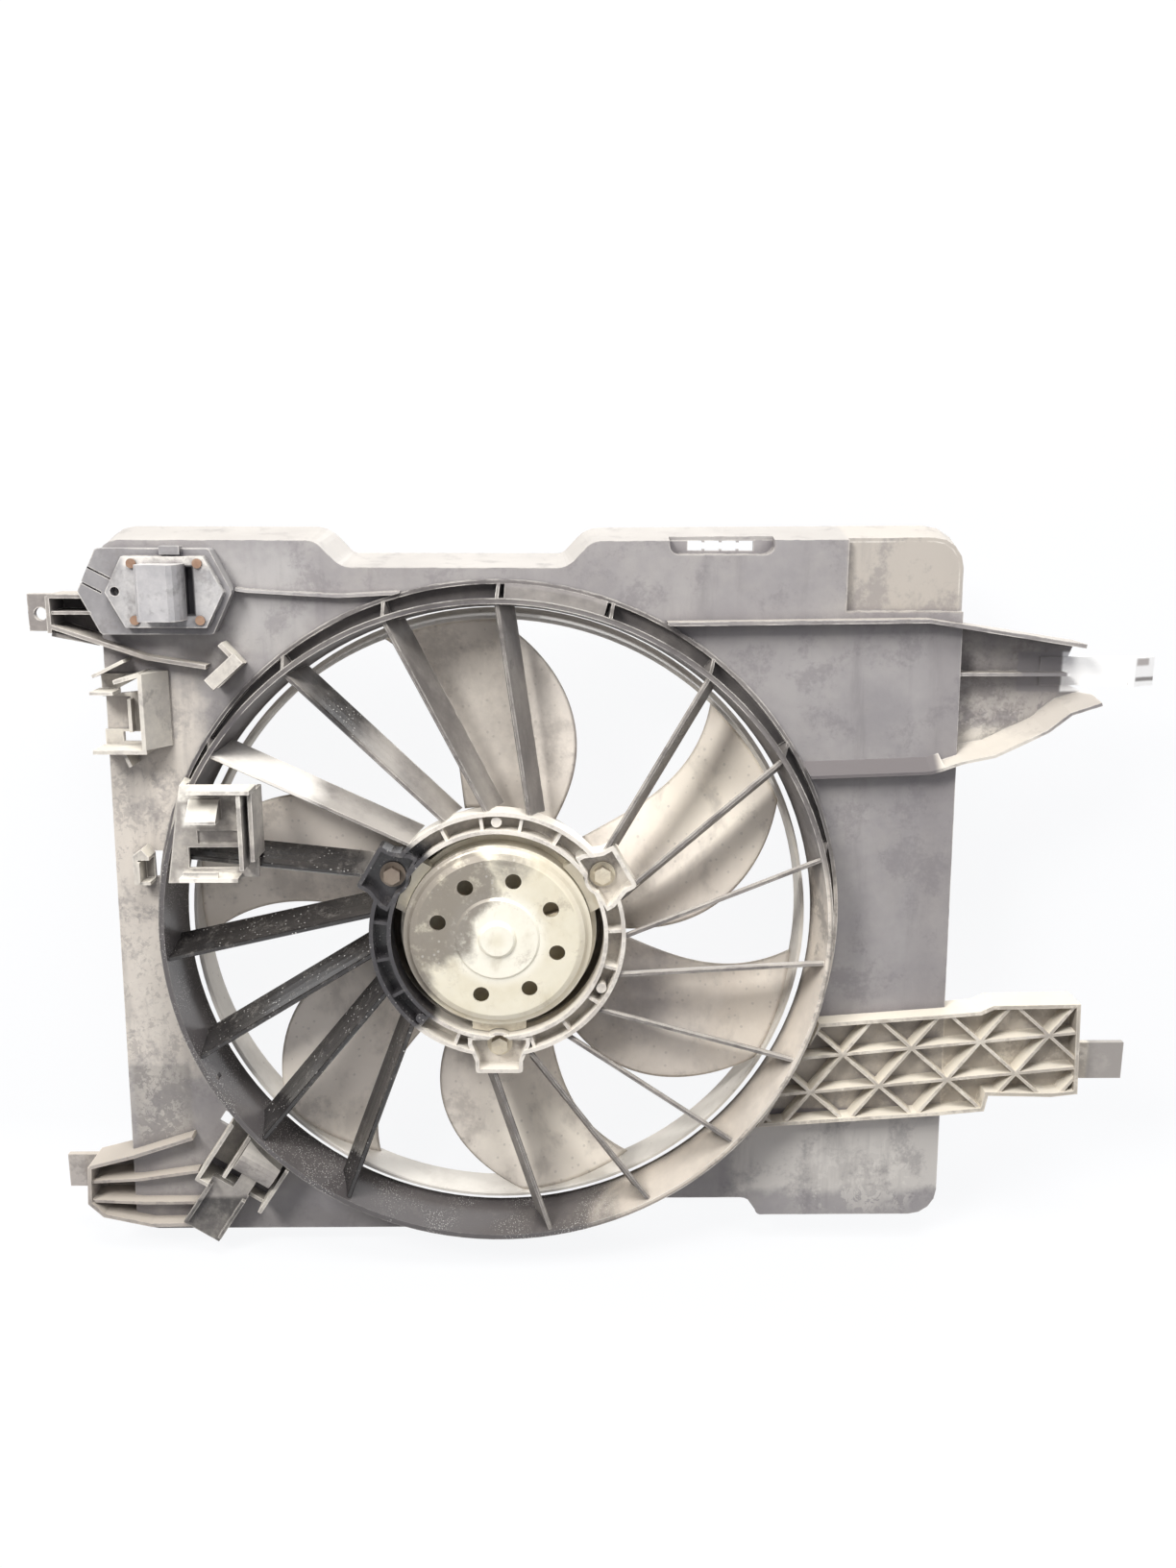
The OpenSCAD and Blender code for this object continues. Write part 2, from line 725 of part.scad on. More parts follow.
module arm_lower_left() color(dusty) rearward() {
    left = -left_reach;
    outline = [[left, -168.5], [-244, -160], [-190, -143], [-190, -212], [-235, -212],
        [-266, -204], [left - 2, -195]];
    difference() {
        union() {
            translate([0, 0, arm_floor]) linear_extrude(wall) polygon(outline);
            path_rib([[left, -168.5], [-244, -160.8], [-204, -147.5]], wall, arm_floor,
                panel_depth + rib_h);
            path_rib([[left, -180], [-240, -178.3], [-202, -172.5]], rib_t, arm_floor + 1,
                panel_depth + rib_h - 2);
            path_rib([[left - 1, -193.8], [-240, -195.5], [-203, -195.5]], rib_t, arm_floor + 1,
                panel_depth + rib_h - 2);
            path_rib([[left, -168.5], [left - 1.8, -194.6], [-265.8, -203.6], [-235, -210.8],
                [-206, -210.5]], wall, arm_floor, panel_depth + rib_h);
            block(left - 22, left + 3, -193.5, -170, arm_floor, arm_floor + 4);
        }
        rim_space();
        panel_space();
    }
}

module arm_upper_left() color(dusty) rearward() {
    left = -left_reach;
    edge = left + 5;
    outline = [[edge - 1, 208], [-230, 208], [-230, 172], [edge - 1, 186]];
    difference() {
        union() {
            translate([0, 0, arm_floor]) linear_extrude(wall) polygon(outline);
            path_rib([[edge, 207], [-238, 207]], wall, arm_floor, panel_depth + rib_h);
            path_rib([[edge, 197], [-238, 197]], rib_t, arm_floor + 1, panel_depth + rib_h - 2);
            path_rib([[edge, 189], [-211, 170], [-176, 164.5]], wall, arm_floor + 1,
                panel_depth + rib_h);
            path_rib([[edge, 184], [-240, 178.5]], wall, arm_floor, panel_depth + rib_h - 3);
            path_rib([[edge, 207], [edge, 185]], wall, arm_floor, panel_depth + rib_h);
            difference() {
                block(left - 15.5, edge + 1, 184, 207, arm_floor, arm_floor + 4);
                translate([left - 8, 194.5, arm_floor - 1])
                    cylinder(r = 4, h = 8, $fn = small_fn);
            }
        }
        rim_space();
        panel_space();
        translate([carrier_at.x, carrier_at.y, panel_depth]) linear_extrude(40)
            polygon(hexagon(carrier_w, carrier_h, carrier_flat));
    }
}

// Relay bracket on the left edge: two shelves, a sloping cheek and two windows through the panel
relay_x = -214.5;
relay_lo = 115;
relay_hi = 161.5;
relay_top = panel_depth + 20;
relay_reach = 30;
relay_slope = 13;

module relay_windows() {
    translate([0, 0, panel_floor - 1]) linear_extrude(wall + 4)
        polygon([[-232.5, 147.2], [-219.5, 148.6], [-220, 157], [-232.5, 150.5]]);
    block(-231.5, -217.5, 117, 123.5, panel_floor - 1, panel_depth + 3);
}

module relay_bracket() color(pale) rearward() {
    left = relay_x - relay_reach;
    difference() {
        union() {
            block(relay_x, relay_x + wall, relay_lo, relay_hi, panel_depth, relay_top);
            translate([relay_x, relay_lo, panel_depth]) rotate([-90, 0, 0])
                linear_extrude(relay_hi - relay_lo)
                polygon([[wall - eps, 0], [relay_slope, 0], [relay_slope, -2], [wall - eps, panel_depth - relay_top]]);
            block(left, relay_x + wall, relay_lo - wall, relay_lo + eps, panel_depth, relay_top);
            path_rib([[left + 15.5, relay_hi - 5], [relay_x + 1, relay_hi - 0.5]], wall,
                panel_depth, relay_top);
            path_rib([[left, relay_hi - 12], [left + 14, relay_hi - 12.2]], rib_t,
                panel_depth, relay_top - 2);
            path_rib([[left + 0.5, relay_hi - 2.5], [left + 20, relay_hi + 7]], rib_t,
                panel_depth, relay_top - 7);
            path_rib([[left + 17, relay_lo - 2], [left + 21, relay_lo - 11]], rib_t,
                panel_depth, relay_top - 4);
            block(left + 2, relay_x + eps, relay_hi - 16, relay_hi - 2, panel_depth, panel_depth + 1.5);
            block(left + 2, relay_x + eps, relay_lo - eps, relay_lo + 10, panel_depth, panel_depth + 1.5);
            block(left + 19, relay_x + eps, relay_lo + 9, relay_hi - 15, panel_depth, panel_depth + 1.5);
            block(left + 19, left + 21, relay_lo + 9, relay_hi - 17, panel_depth, panel_depth + 8);
        }
        relay_windows();
        rim_space();
        panel_space();
    }
}

// Bracket over the tunnel's rim for the motor lead
bracket_base = tunnel_top;
lead_left = -189;
lead_right = -144;
lead_lo = 40;
lead_hi = 97;

module lead_bracket() color(pale) rearward() {
    difference() {
        union() {
            difference() {
                block(lead_left, lead_right, lead_lo, lead_hi, bracket_base, bracket_base + wall);
                block(lead_left + 3, lead_right - 10, 45.5, 58.5, bracket_base - 1, bracket_base + wall + 1);
                block(lead_left + 9, lead_right - 10, 61, 69, bracket_base + 1, bracket_base + wall + 1);
            }
            block(lead_right - 8, lead_right - 8 + wall, lead_lo + 8, lead_hi, bracket_base, bracket_base + 17);
            block(lead_right - wall, lead_right, lead_lo + 12, lead_hi - 3, bracket_base - 14, bracket_base + 12);
            block(lead_left + 8, lead_right, lead_hi - wall, lead_hi, bracket_base, bracket_base + 18);
            block(lead_left, lead_right - 10, lead_lo, lead_lo + wall, bracket_base, bracket_base + 15);
            block(lead_left + 2, lead_right - 22, lead_lo, lead_lo + 6, bracket_base + 12, bracket_base + 14);
            translate([lead_left + 6, 76, bracket_base + wall - eps]) rotate([90, 0, 90])
                linear_extrude(18) polygon([[0, 0], [13, 0], [13, 4], [2, 14], [0, 14]]);
            lead_cheek();
        }
        translate([0, 0, -1]) cylinder(r = tunnel_r + wall + 0.8, h = tunnel_top + 1, $fn = round_fn);
    }
    block(lead_right - wall, lead_right, lead_lo + 12, lead_hi - 3, bracket_base - 14, bracket_base + 12);
}

// Sloping cheek of the lead bracket, from the trough's lip up to its base
module lead_cheek() {
    loft([
        [[-214, 29], [-209, 29], [-190, 93], [-195, 95]],
        [[-199, 36], [lead_left + 2, 36], [lead_left + 3, lead_hi], [lead_left, lead_hi]]
    ], [lip_top, bracket_base + wall]);
}

module lead_hook() color(pale) rearward() {
    translate([-164, 162, panel_depth]) rotate(42) {
        translate([-12, 4, 0]) rotate([90, 0, 0]) linear_extrude(8)
            polygon([[0, 0], [22, 0], [26, 20], [2, 22], [0, 16], [17, 14], [17, 8], [0, 6]]);
        block(8, 11, -4, 14, 0, 12);
    }
}

module lead_clip() color(pale) rearward() {
    translate([-222.5, 38, panel_depth]) {
        difference() {
            linear_extrude(14) polygon([[-5, -10], [5, -10], [5, 8], [0.5, 13], [-5, 9]]);
            block(-2, 6, -8, 6, 3, 15);
        }
        block(-2, -0.5, -8, 5, 2, 16);
    }
}

// Holder and plug of the motor lead at the lower left of the ring, drawn in their own turn
module plug_frame() {
    translate([plug_at.x, plug_at.y, panel_depth]) rotate(plug_turn) children();
}

module plug_holder() color(dusty) rearward() {
    difference() {
        plug_frame() {
            block(-21.5, -19, -18, 29, 0, 23);
            block(-7.5, -5, -17, 18, 0, 19);
            block(-19.1, -7.4, -17, 24, 0, 3);
            block(-21.5, 27.5, -26, -23.5, 0, 8);
            block(-21.5, -12.3, -26, -23.5, 0, 23);
            block(-21.5, -19, -26, -16, 0, 23);
            block(-7.5, -5, -24, -16, 0, 8);
            block(25, 27.5, -26, 12, 0, 20);
        }
        trough_clear(0.02);
    }
}

// The space of the tunnel and its trough's lip, with a gap round it
module trough_clear(gap) {
    translate([0, 0, -1]) cylinder(r = lip_r + gap, h = 100, $fn = round_fn);
}

module motor_plug() color(black) rearward() {
    difference() {
        plug_frame() {
            difference() {
                union() {
                    block(-4.6, 22, -8, 17, 0.02, 17);
                    translate([-4.6, 4.5, 17 - eps]) rotate([90, 0, 90]) linear_extrude(26.6)
                        polygon([for (k = [0 : 12]) [12.5 * cos(15 * k), 9 * sin(15 * k)]]);
                }
                block(0, 17.5, -9, 2, 5, 14);
            }
            block(3, 14, -24, 2.1, 8.4, 12);
            block(-12, 15, -64, -23.9, 8.4, 12);
            block(-12, -9.5, -60, -28, 11.9, 15);
            block(12.5, 15, -60, -28, 11.9, 15);
        }
        trough_clear(0.3);
    }
}

// Resistor unit in the upper left corner
carrier_at = [-203, 210];
carrier_flat = 67;
plate_w = 70;
plate_h = 42;
plate_flat = 48;
plate_at = [-196, 210];
carrier_top = panel_depth + carrier_rise;
plate_top = carrier_top + 5;
coil_floor = 8;

function hexagon(w, h, flat) = [[-w / 2, 0], [-flat / 2, -h / 2], [flat / 2, -h / 2],
    [w / 2, 0], [flat / 2, h / 2], [-flat / 2, h / 2]];

module resistor_window() {
    translate([plate_at.x, plate_at.y, -1]) linear_extrude(panel_depth + 2)
        polygon(hexagon(plate_w - 14, plate_h - 14, plate_flat - 12));
}

module resistor_carrier() color(pale) rearward() {
    difference() {
        union() {
            translate([carrier_at.x, carrier_at.y, panel_depth]) linear_extrude(carrier_rise, convexity = 4)
                offset(2) offset(-2) polygon(hexagon(carrier_w, carrier_h, carrier_flat));
            block(-198, -186, 232, 237, carrier_top - 4, carrier_top + 3);
        }
        translate([plate_at.x, plate_at.y, 0]) linear_extrude(carrier_top + 1)
            polygon(hexagon(plate_w - 8, plate_h - 3, plate_flat - 1));
        translate([plate_at.x, plate_at.y, carrier_top - 2]) linear_extrude(carrier_rise)
            polygon(hexagon(plate_w, plate_h, plate_flat));
        for (a = [[-241, 224, 62], [-247, 216, 62], [-243, 197, -58]])
            translate([a[0], a[1], carrier_top - 3]) rotate(a[2] - 90) block(-1, 14, -0.5, 0.5, 0, 5);
        block(-252, -236, 203, 217, panel_depth + 4, carrier_top - 4);
    }
}

module resistor_plate() color(dusty) rearward() {
    difference() {
        union() {
            translate([plate_at.x, plate_at.y, carrier_top - 2]) linear_extrude(7)
                offset(delta = -0.02) polygon(hexagon(plate_w, plate_h, plate_flat));
        }
        translate([-225, 210.5, 0]) cylinder(r = 2.7, h = 100, $fn = small_fn);
        block(socket_right + 0.3, socket_right + slit_w, socket_lo + 3, socket_hi - 2,
            plate_top - 5.5, plate_top + 1);
        for (p = rivet_points()) translate([p.x, p.y, 0]) cylinder(r = 1.55, h = 100, $fn = small_fn);
        for (x = terminal_x) block(x - 3.2, x + 3.2, socket_mid - 0.5, socket_mid + 0.5, 0, 100);
    }
}

rivet_x = [-214, -175.3];

function rivet_points() = [for (x = rivet_x, y = [193.5, 227]) [x, y]];

socket_left = -208;
socket_right = -183;
socket_lo = 194;
socket_hi = 227;
socket_mid = 211;
socket_rise = 17;
socket_w = socket_right - socket_left;
slit_w = 4.5;
terminal_x = [-201.5, -190.5];

module resistor_socket() color(dusty) rearward() {
    difference() {
        union() {
            translate([socket_left, socket_hi, plate_top]) rotate([90, 0, 0])
                linear_extrude(socket_hi - socket_lo) polygon([
                    [0, 0], [socket_w, 0], [socket_w, socket_rise - 9], [socket_w - 1, socket_rise - 5],
                    [socket_w - 3, socket_rise - 2], [socket_w - 6, socket_rise], [2, socket_rise],
                    [0, socket_rise - 2]
                ]);
        }
        block(socket_left + 2.5, socket_right - 2.5, socket_lo - 1, socket_hi - 4,
            plate_top + 2, plate_top + socket_rise - 3.5);
        for (x = terminal_x) block(x - 3.2, x + 3.2, socket_mid - 0.5, socket_mid + 0.5, 0, plate_top + 3);
    }
}

module resistor_terminals() color(zinc) rearward() {
    for (x = terminal_x) {
        block(x - 3.15, x + 3.15, socket_mid - 0.4, socket_mid + 0.4, carrier_top - 8, plate_top + 9.4);
        block(x - 3.15, x + 3.15, socket_lo + 4, socket_mid + 0.4, plate_top + 8.6, plate_top + 9.4);
    }
}

module resistor_rivets() color(copper) rearward() {
    for (p = rivet_points()) translate([p.x, p.y, 0]) {
        translate([0, 0, carrier_top - 9]) cylinder(r = 1.5, h = 15, $fn = small_fn);
        translate([0, 0, plate_top]) cylinder(r = rivet_r, h = 1.2, $fn = small_fn);
        translate([0, 0, carrier_top - 10]) cylinder(r = rivet_r - 0.4, h = 1, $fn = small_fn);
    }
}

// Wire resistor hung from the plate into the air stream, as a ribbed body on two straps
module resistor_coil() color([0.35, 0.33, 0.31]) rearward() {
    top = carrier_top - 10;
    turns = 7;
    span = rivet_x[1] - rivet_x[0];
    translate([rivet_x[0], plate_at.y, coil_floor + 9]) rotate([0, 90, 0]) {
        cylinder(r = 3.5, h = span, $fn = small_fn);
        for (k = [0 : turns - 1]) translate([0, 0, 3 + k * (span - 6) / turns]) cylinder(r = 6, h = 2.4, $fn = small_fn);
    }
    for (x = rivet_x) difference() {
        union() {
            block(x - 1, x + 1, plate_at.y - 4, plate_at.y + 4, coil_floor + 4, top);
            block(x - 2.6, x + 2.6, 191.8, 228.2, top - 1, top);
        }
        for (p = rivet_points()) translate([p.x, p.y, 0]) cylinder(r = 1.52, h = 100, $fn = small_fn);
    }
}

// Motor
pocket_r = 13;
bearing_r = 9;
bearing_h = 8;
front_pocket_z = can_front - 6;
rear_pocket_top = cap_top + 4;
flange_z = ring_floor - 3;
flange_t = 3;
ear_r = bolt_circle + 8.5;
pad_w = 34;
pad_gap = 0.5;
pad_top = 63;

module motor_can() color(zinc) rearward() {
    rotate_extrude($fn = round_fn) polygon([
        [can_r, can_rear], [can_r - steel, can_rear], [can_r - steel, can_front + steel],
        [bearing_r, can_front + steel],
        [bearing_r, front_pocket_z + steel], [shaft_r + 2, front_pocket_z + steel],
        [shaft_r + 2, front_pocket_z], [bearing_r + 2 * steel, front_pocket_z],
        [bearing_r + 2 * steel, can_front], [can_r - 3, can_front], [can_r, can_front + 3]
    ]);
}

module motor_flange() color(zinc) rearward() {
    difference() {
        union() {
            translate([0, 0, flange_z]) cylinder(r = can_r + 3, h = flange_t, $fn = round_fn);
            for (a = bolt_angles) rotate([0, 0, a]) translate([0, 0, flange_z]) linear_extrude(flange_t)
                polygon([[can_r - 6, -19], [can_r + 5, -16], [ear_r - 5, -11], [ear_r, -6],
                    [ear_r, 6], [ear_r - 5, 11], [can_r + 5, 16], [can_r - 6, 19]]);
        }
        translate([0, 0, flange_z - 1]) cylinder(r = can_r + 0.02, h = flange_t + 2, $fn = round_fn);
        for (a = bolt_angles) translate(polar(bolt_circle, a))
            translate([0, 0, flange_z - 1]) cylinder(r = bolt_r + 0.4, h = flange_t + 2, $fn = small_fn);
    }
    for (a = bolt_angles) rotate([0, 0, a]) ear_pad();
}

// Raised pad between the can and the motor ring, cut round the bolt's boss
module ear_pad() {
    difference() {
        intersection() {
            translate([0, 0, flange_z + flange_t - 0.5]) cylinder(r = ring_bore - pad_gap, h = 20, $fn = round_fn);
            block(can_r - 20, ring_bore + 1, -pad_w / 2, pad_w / 2, flange_z + flange_t - 1, pad_top);
        }
        cylinder(r = can_r + 0.4, h = 100, $fn = round_fn);
        translate([bolt_circle, 0, flange_z + flange_t + 0.1])
            cylinder(r = head_room + 1.8 + pad_gap, h = 20, $fn = small_fn);
    }
}

// Bolts from the rear, through the lug floors and the flange's ears
washer_r = 8;
washer_t = 1.6;
head_r = 5.6;
head_h = 5;

module motor_bolts() color([0.62, 0.55, 0.42]) rearward() {
    for (a = bolt_angles) translate(polar(bolt_circle, a)) {
        translate([0, 0, lug_floor]) cylinder(r = washer_r, h = washer_t, $fn = small_fn);
        translate([0, 0, lug_floor + washer_t - eps]) rotate(a) cylinder(r = head_r, h = head_h, $fn = 6);
        translate([0, 0, flange_z - 8]) cylinder(r = bolt_r, h = lug_floor - flange_z + 8.5, $fn = small_fn);
    }
}

module motor_nuts() color(zinc) rearward() {
    for (a = bolt_angles) translate(polar(bolt_circle, a)) difference() {
        translate([0, 0, flange_z - 5]) rotate(a) cylinder(r = 5.8, h = 5, $fn = 6);
        translate([0, 0, flange_z - 6]) cylinder(r = bolt_r + 0.05, h = 8, $fn = small_fn);
    }
}

// End cap: flat, step, bearing boss, and holes at seven of the eight even positions
vent_angles = [120.7, 74.5, 29.5, -14.1, -58.9, -106.1, 164.1];
step_r = 25;
boss_r = 11;
shoulder = 5.5;

module motor_end_cap() color(zinc) rearward() {
    difference() {
        rotate_extrude($fn = round_fn) polygon([
            [can_r - steel - 0.02, can_rear - 4], [can_r - steel - 0.02, can_rear + eps], [can_r, can_rear + eps],
            [can_r, can_rear + 2], [cap_r + 1, can_rear + 2.6], [cap_r, cap_top - 3.7],
            [cap_r - 0.35 * shoulder, cap_top - 1.6], [cap_r - shoulder, cap_top],
            [step_r + 1.5, cap_top], [step_r, cap_top + 1.4], [boss_r + 1, cap_top + 1.4],
            [boss_r, rear_pocket_top - 1], [boss_r - 1.2, rear_pocket_top], [0, rear_pocket_top],
            [0, rear_pocket_top - steel], [bearing_r + 0.02, rear_pocket_top - steel],
            [bearing_r + 0.02, cap_top - steel - 3], [boss_r, cap_top - steel - 3], [boss_r, cap_top - steel],
            [cap_r - shoulder - 0.5, cap_top - steel], [cap_r - 3, cap_top - 3],
            [cap_r - 1.4, cap_top - 4.6],
            [cap_r - 1, can_rear - 4]
        ]);
        for (a = vent_angles) translate(polar(vent_circle, a))
            translate([0, 0, cap_top - 5]) cylinder(r = vent_r, h = 10, $fn = small_fn);
    }
}

// Four magnet arcs glued inside the can
magnet_t = 8;
magnet_z0 = 32;
magnet_z1 = 58;

module motor_magnets() color([0.25, 0.25, 0.27]) rearward() {
    for (k = [0 : 3]) rotate([0, 0, 45 + k * 90 - 34])
        rotate_extrude(angle = 68, $fn = round_fn)
            translate([can_r - steel - magnet_t, magnet_z0]) square([magnet_t, magnet_z1 - magnet_z0]);
}

module front_bearing() color([0.60, 0.50, 0.32]) rearward() {
    translate([0, 0, front_pocket_z + steel]) difference() {
        cylinder(r = bearing_r, h = bearing_h, $fn = round_fn);
        translate([0, 0, -1]) cylinder(r = shaft_r + bearing_gap, h = bearing_h + 2, $fn = round_fn);
    }
}

module rear_bearing() color([0.60, 0.50, 0.32]) rearward() {
    translate([0, 0, rear_pocket_top - steel - bearing_h]) difference() {
        cylinder(r = bearing_r, h = bearing_h, $fn = round_fn);
        translate([0, 0, -1]) cylinder(r = shaft_r + bearing_gap, h = bearing_h + 2, $fn = round_fn);
    }
}

// Brush gear behind the commutator
brush_z = 60.5;
comm_r = 11;
brush_w = 7;
brush_h = 5;
holder_t = 1.6;

module brush_plate() color([0.35, 0.22, 0.14]) rearward() {
    difference() {
        union() {
            translate([0, 0, brush_z - 2]) cylinder(r = can_r - steel, h = 2, $fn = round_fn);
            for (k = [0, 1]) rotate([0, 0, 15 + k * 180])
                block(comm_r + 3, comm_r + 29, -brush_w / 2 - holder_t, brush_w / 2 + holder_t,
                    brush_z - eps, brush_z + brush_h + holder_t);
        }
        translate([0, 0, brush_z - 10]) cylinder(r = comm_r + 1.5, h = 30, $fn = round_fn);
        for (k = [0, 1]) rotate([0, 0, 15 + k * 180])
            block(comm_r, comm_r + 29 - holder_t, -brush_w / 2 - 0.05, brush_w / 2 + 0.05,
                brush_z, brush_z + brush_h + 0.1);
    }
}

module brushes() color([0.18, 0.18, 0.19]) rearward() {
    for (k = [0, 1]) rotate([0, 0, 15 + k * 180])
        difference() {
            block(comm_r - 2, comm_r + 15, -brush_w / 2, brush_w / 2, brush_z, brush_z + brush_h);
            translate([0, 0, brush_z - 1]) cylinder(r = comm_r + 0.1, h = brush_h + 2, $fn = round_fn);
        }
}

module brush_springs() color(zinc) rearward() {
    for (k = [0, 1]) rotate([0, 0, 15 + k * 180]) {
        translate([comm_r + 15, 0, brush_z + brush_h / 2]) rotate([0, 90, 0]) {
            cylinder(r = 1.4, h = 12.4, $fn = small_fn);
            for (t = [0.6 : 2.4 : 11]) translate([0, 0, t]) cylinder(r = 2.1, h = 1.1, $fn = small_fn);
        }
    }
}

// Rotor: shaft, armature and fan
shaft_front = 3;
shaft_rear = rear_pocket_top - steel - 1;
core_z0 = 35;
core_z1 = 53;
hub_bore = shaft_r + 0.02;

module motor_shaft() color([0.70, 0.70, 0.72]) rearward() {
    difference() {
        translate([0, 0, shaft_front]) cylinder(r = shaft_r, h = shaft_rear - shaft_front, $fn = round_fn);
        rotate_extrude($fn = round_fn)
            translate([shaft_r - 0.6, shaft_front + 1.5]) square([2, 1.2]);
    }
}

module armature_core() color([0.45, 0.45, 0.47]) rearward() {
    difference() {
        translate([0, 0, core_z0]) cylinder(r = core_r, h = core_z1 - core_z0, $fn = round_fn);
        translate([0, 0, core_z0 - 1]) cylinder(r = shaft_r + 0.01, h = core_z1 - core_z0 + 2, $fn = round_fn);
        for (k = [0 : slot_count - 1]) rotate([0, 0, k * 360 / slot_count]) {
            block(core_r - 17, core_r - 5, -3.4, 3.4, core_z0 - 1, core_z1 + 1);
            block(core_r - 6, core_r + 1, -1.2, 1.2, core_z0 - 1, core_z1 + 1);
        }
    }
}

module armature_windings() color(copper) rearward() {
    for (k = [0 : slot_count - 1]) rotate([0, 0, k * 360 / slot_count])
        block(core_r - 16.9, core_r - 5.1, -3.3, 3.3, core_z0 - 0.02, core_z1 + 0.02);
    for (z = [core_z0 - 5, core_z1]) translate([0, 0, z]) difference() {
        cylinder(r = core_r - 4, h = 5, $fn = round_fn);
        translate([0, 0, -1]) cylinder(r = core_r - 20, h = 7, $fn = round_fn);
    }
}

module commutator() color(copper) rearward() {
    difference() {
        translate([0, 0, core_z1 + 0.5]) cylinder(r = comm_r, h = 13.5, $fn = round_fn);
        translate([0, 0, core_z1 - 1]) cylinder(r = shaft_r + 0.01, h = 20, $fn = round_fn);
        for (k = [0 : 2 * slot_count - 1]) rotate([0, 0, k * 180 / slot_count])
            block(comm_r - 0.8, comm_r + 1, -0.25, 0.25, core_z1 + 3, core_z1 + 15);
    }
}

// Hub: a cup open to the rear, ribbed inside, with a sleeve on the shaft
sleeve_r = 11;
sleeve_front = 5.7;
sleeve_rear = front_pocket_z - 1;

module fan_hub() color(blade_grey) rearward() {
    rotate_extrude($fn = round_fn) polygon([
        [hub_bore, sleeve_front], [sleeve_r - 1, sleeve_front], [sleeve_r, sleeve_front + 1],
        [sleeve_r + 2, hub_front + 1.5], [sleeve_r + 8, hub_front + 1.5], [sleeve_r + 12, hub_front],
        [hub_r - 8, hub_front], [hub_r - 3, hub_front + 1.6], [hub_r - 0.8, hub_front + 5],
        [hub_r, hub_front + 9], [hub_r, hub_rear], [hub_r - hub_wall, hub_rear],
        [hub_r - hub_wall, hub_front + 10], [hub_r - hub_wall - 3, hub_front + 5],
        [hub_r - 10, hub_front + hub_wall], [sleeve_r + 13, hub_front + hub_wall],
        [sleeve_r + 8.5, hub_front + hub_wall + 1.5], [sleeve_r, hub_front + hub_wall + 1.5],
        [sleeve_r, sleeve_rear], [hub_bore, sleeve_rear]
    ]);
    for (k = [0 : 5]) rotate([0, 0, k * 60])
        block(sleeve_r - 0.5, hub_r - hub_wall - 3.5, -0.9, 0.9, hub_front + hub_wall - 0.2, hub_front + hub_wall + 3);
}

// Band round the blade tips, with a small outward lip at its front edge
band_lip = 3;

module fan_band() color(pale) rearward() {
    rotate_extrude($fn = round_fn) polygon([
        [band_r - band_t, band_front], [band_r + band_lip, band_front],
        [band_r + band_lip, band_front + 2.2], [band_r + 0.6, band_front + 3.4],
        [band_r, band_front + 5], [band_r, band_rear], [band_r - band_t + 0.6, band_rear],
        [band_r - band_t, band_rear - 1]
    ]);
}

// Blades: lofted between swept edges, each at its own uneven direction
blade_turns = [0, 66, 120, 176, 228, 287];
span_steps = 12;
chord_steps = 9;
root_r = hub_r + 0.09;
tip_r = band_r - band_t;
trail_z_hub = 38;
trail_z_tip = 34.5;
lead_z_hub = 13.5;
lead_z_tip = 17;
edge_t = 0.7;

// Value at radius r of the curve through three values at the root, mid span and tip
function through(r, at_root, at_mid, at_tip) =
    let (u = (r - root_r) / (tip_r - root_r))
    at_root * (1 - u) * (1 - 2 * u) + at_mid * 4 * u * (1 - u) + at_tip * u * (2 * u - 1);
function blend(r, a, b) = a + (b - a) * (r - root_r) / (tip_r - root_r);

// A point of the blade's skin: s runs from the trailing to the leading edge, side is 1 or -1
function blade_point(r, s, side) =
    let (
        lead = through(r, lead_hub, lead_mid, lead_tip),
        trail = through(r, trail_hub, trail_mid, trail_tip),
        angle = trail + (lead - trail) * s,
        mid = blend(r, trail_z_hub, trail_z_tip) * (1 - s) + blend(r, lead_z_hub, lead_z_tip) * s,
        bow = blade_camber * 4 * s * (1 - s),
        thick = edge_t + (blend(r, blade_t, blade_t * 0.7) - edge_t) * pow(sin(180 * pow(s, 0.8)), 0.6)
    )
    [r * cos(angle), r * sin(angle), mid + bow + side * thick / 2];

module blade() {
    across = chord_steps + 1;
    layer = across * (span_steps + 1);
    points = [
        for (side = [1, -1], i = [0 : span_steps], j = [0 : chord_steps])
            blade_point(root_r + (tip_r - root_r) * i / span_steps, j / chord_steps, side)
    ];
    function at(side, i, j) = side * layer + i * across + j;
    faces = concat(
        [for (i = [0 : span_steps - 1], j = [0 : chord_steps - 1]) each [
            [at(0, i, j), at(0, i, j + 1), at(0, i + 1, j)],
            [at(0, i + 1, j), at(0, i, j + 1), at(0, i + 1, j + 1)],
            [at(1, i, j), at(1, i + 1, j), at(1, i, j + 1)],
            [at(1, i + 1, j), at(1, i + 1, j + 1), at(1, i, j + 1)]
        ]],
        [for (i = [0 : span_steps - 1], j = [0, chord_steps]) each (j == 0 ? [
            [at(0, i, j), at(0, i + 1, j), at(1, i, j)],
            [at(1, i, j), at(0, i + 1, j), at(1, i + 1, j)]
        ] : [
            [at(0, i, j), at(1, i, j), at(0, i + 1, j)],
            [at(1, i, j), at(1, i + 1, j), at(0, i + 1, j)]
        ])],
        [for (j = [0 : chord_steps - 1], i = [0, span_steps]) each (i == 0 ? [
            [at(0, i, j), at(1, i, j), at(0, i, j + 1)],
            [at(1, i, j), at(1, i, j + 1), at(0, i, j + 1)]
        ] : [
            [at(0, i, j), at(0, i, j + 1), at(1, i, j)],
            [at(1, i, j), at(0, i, j + 1), at(1, i, j + 1)]
        ])]
    );
    polyhedron(points, faces, convexity = 4);
}

module fan_blades() color(blade_grey) rearward() {
    for (turn = blade_turns) rotate([0, 0, -turn]) blade();
}

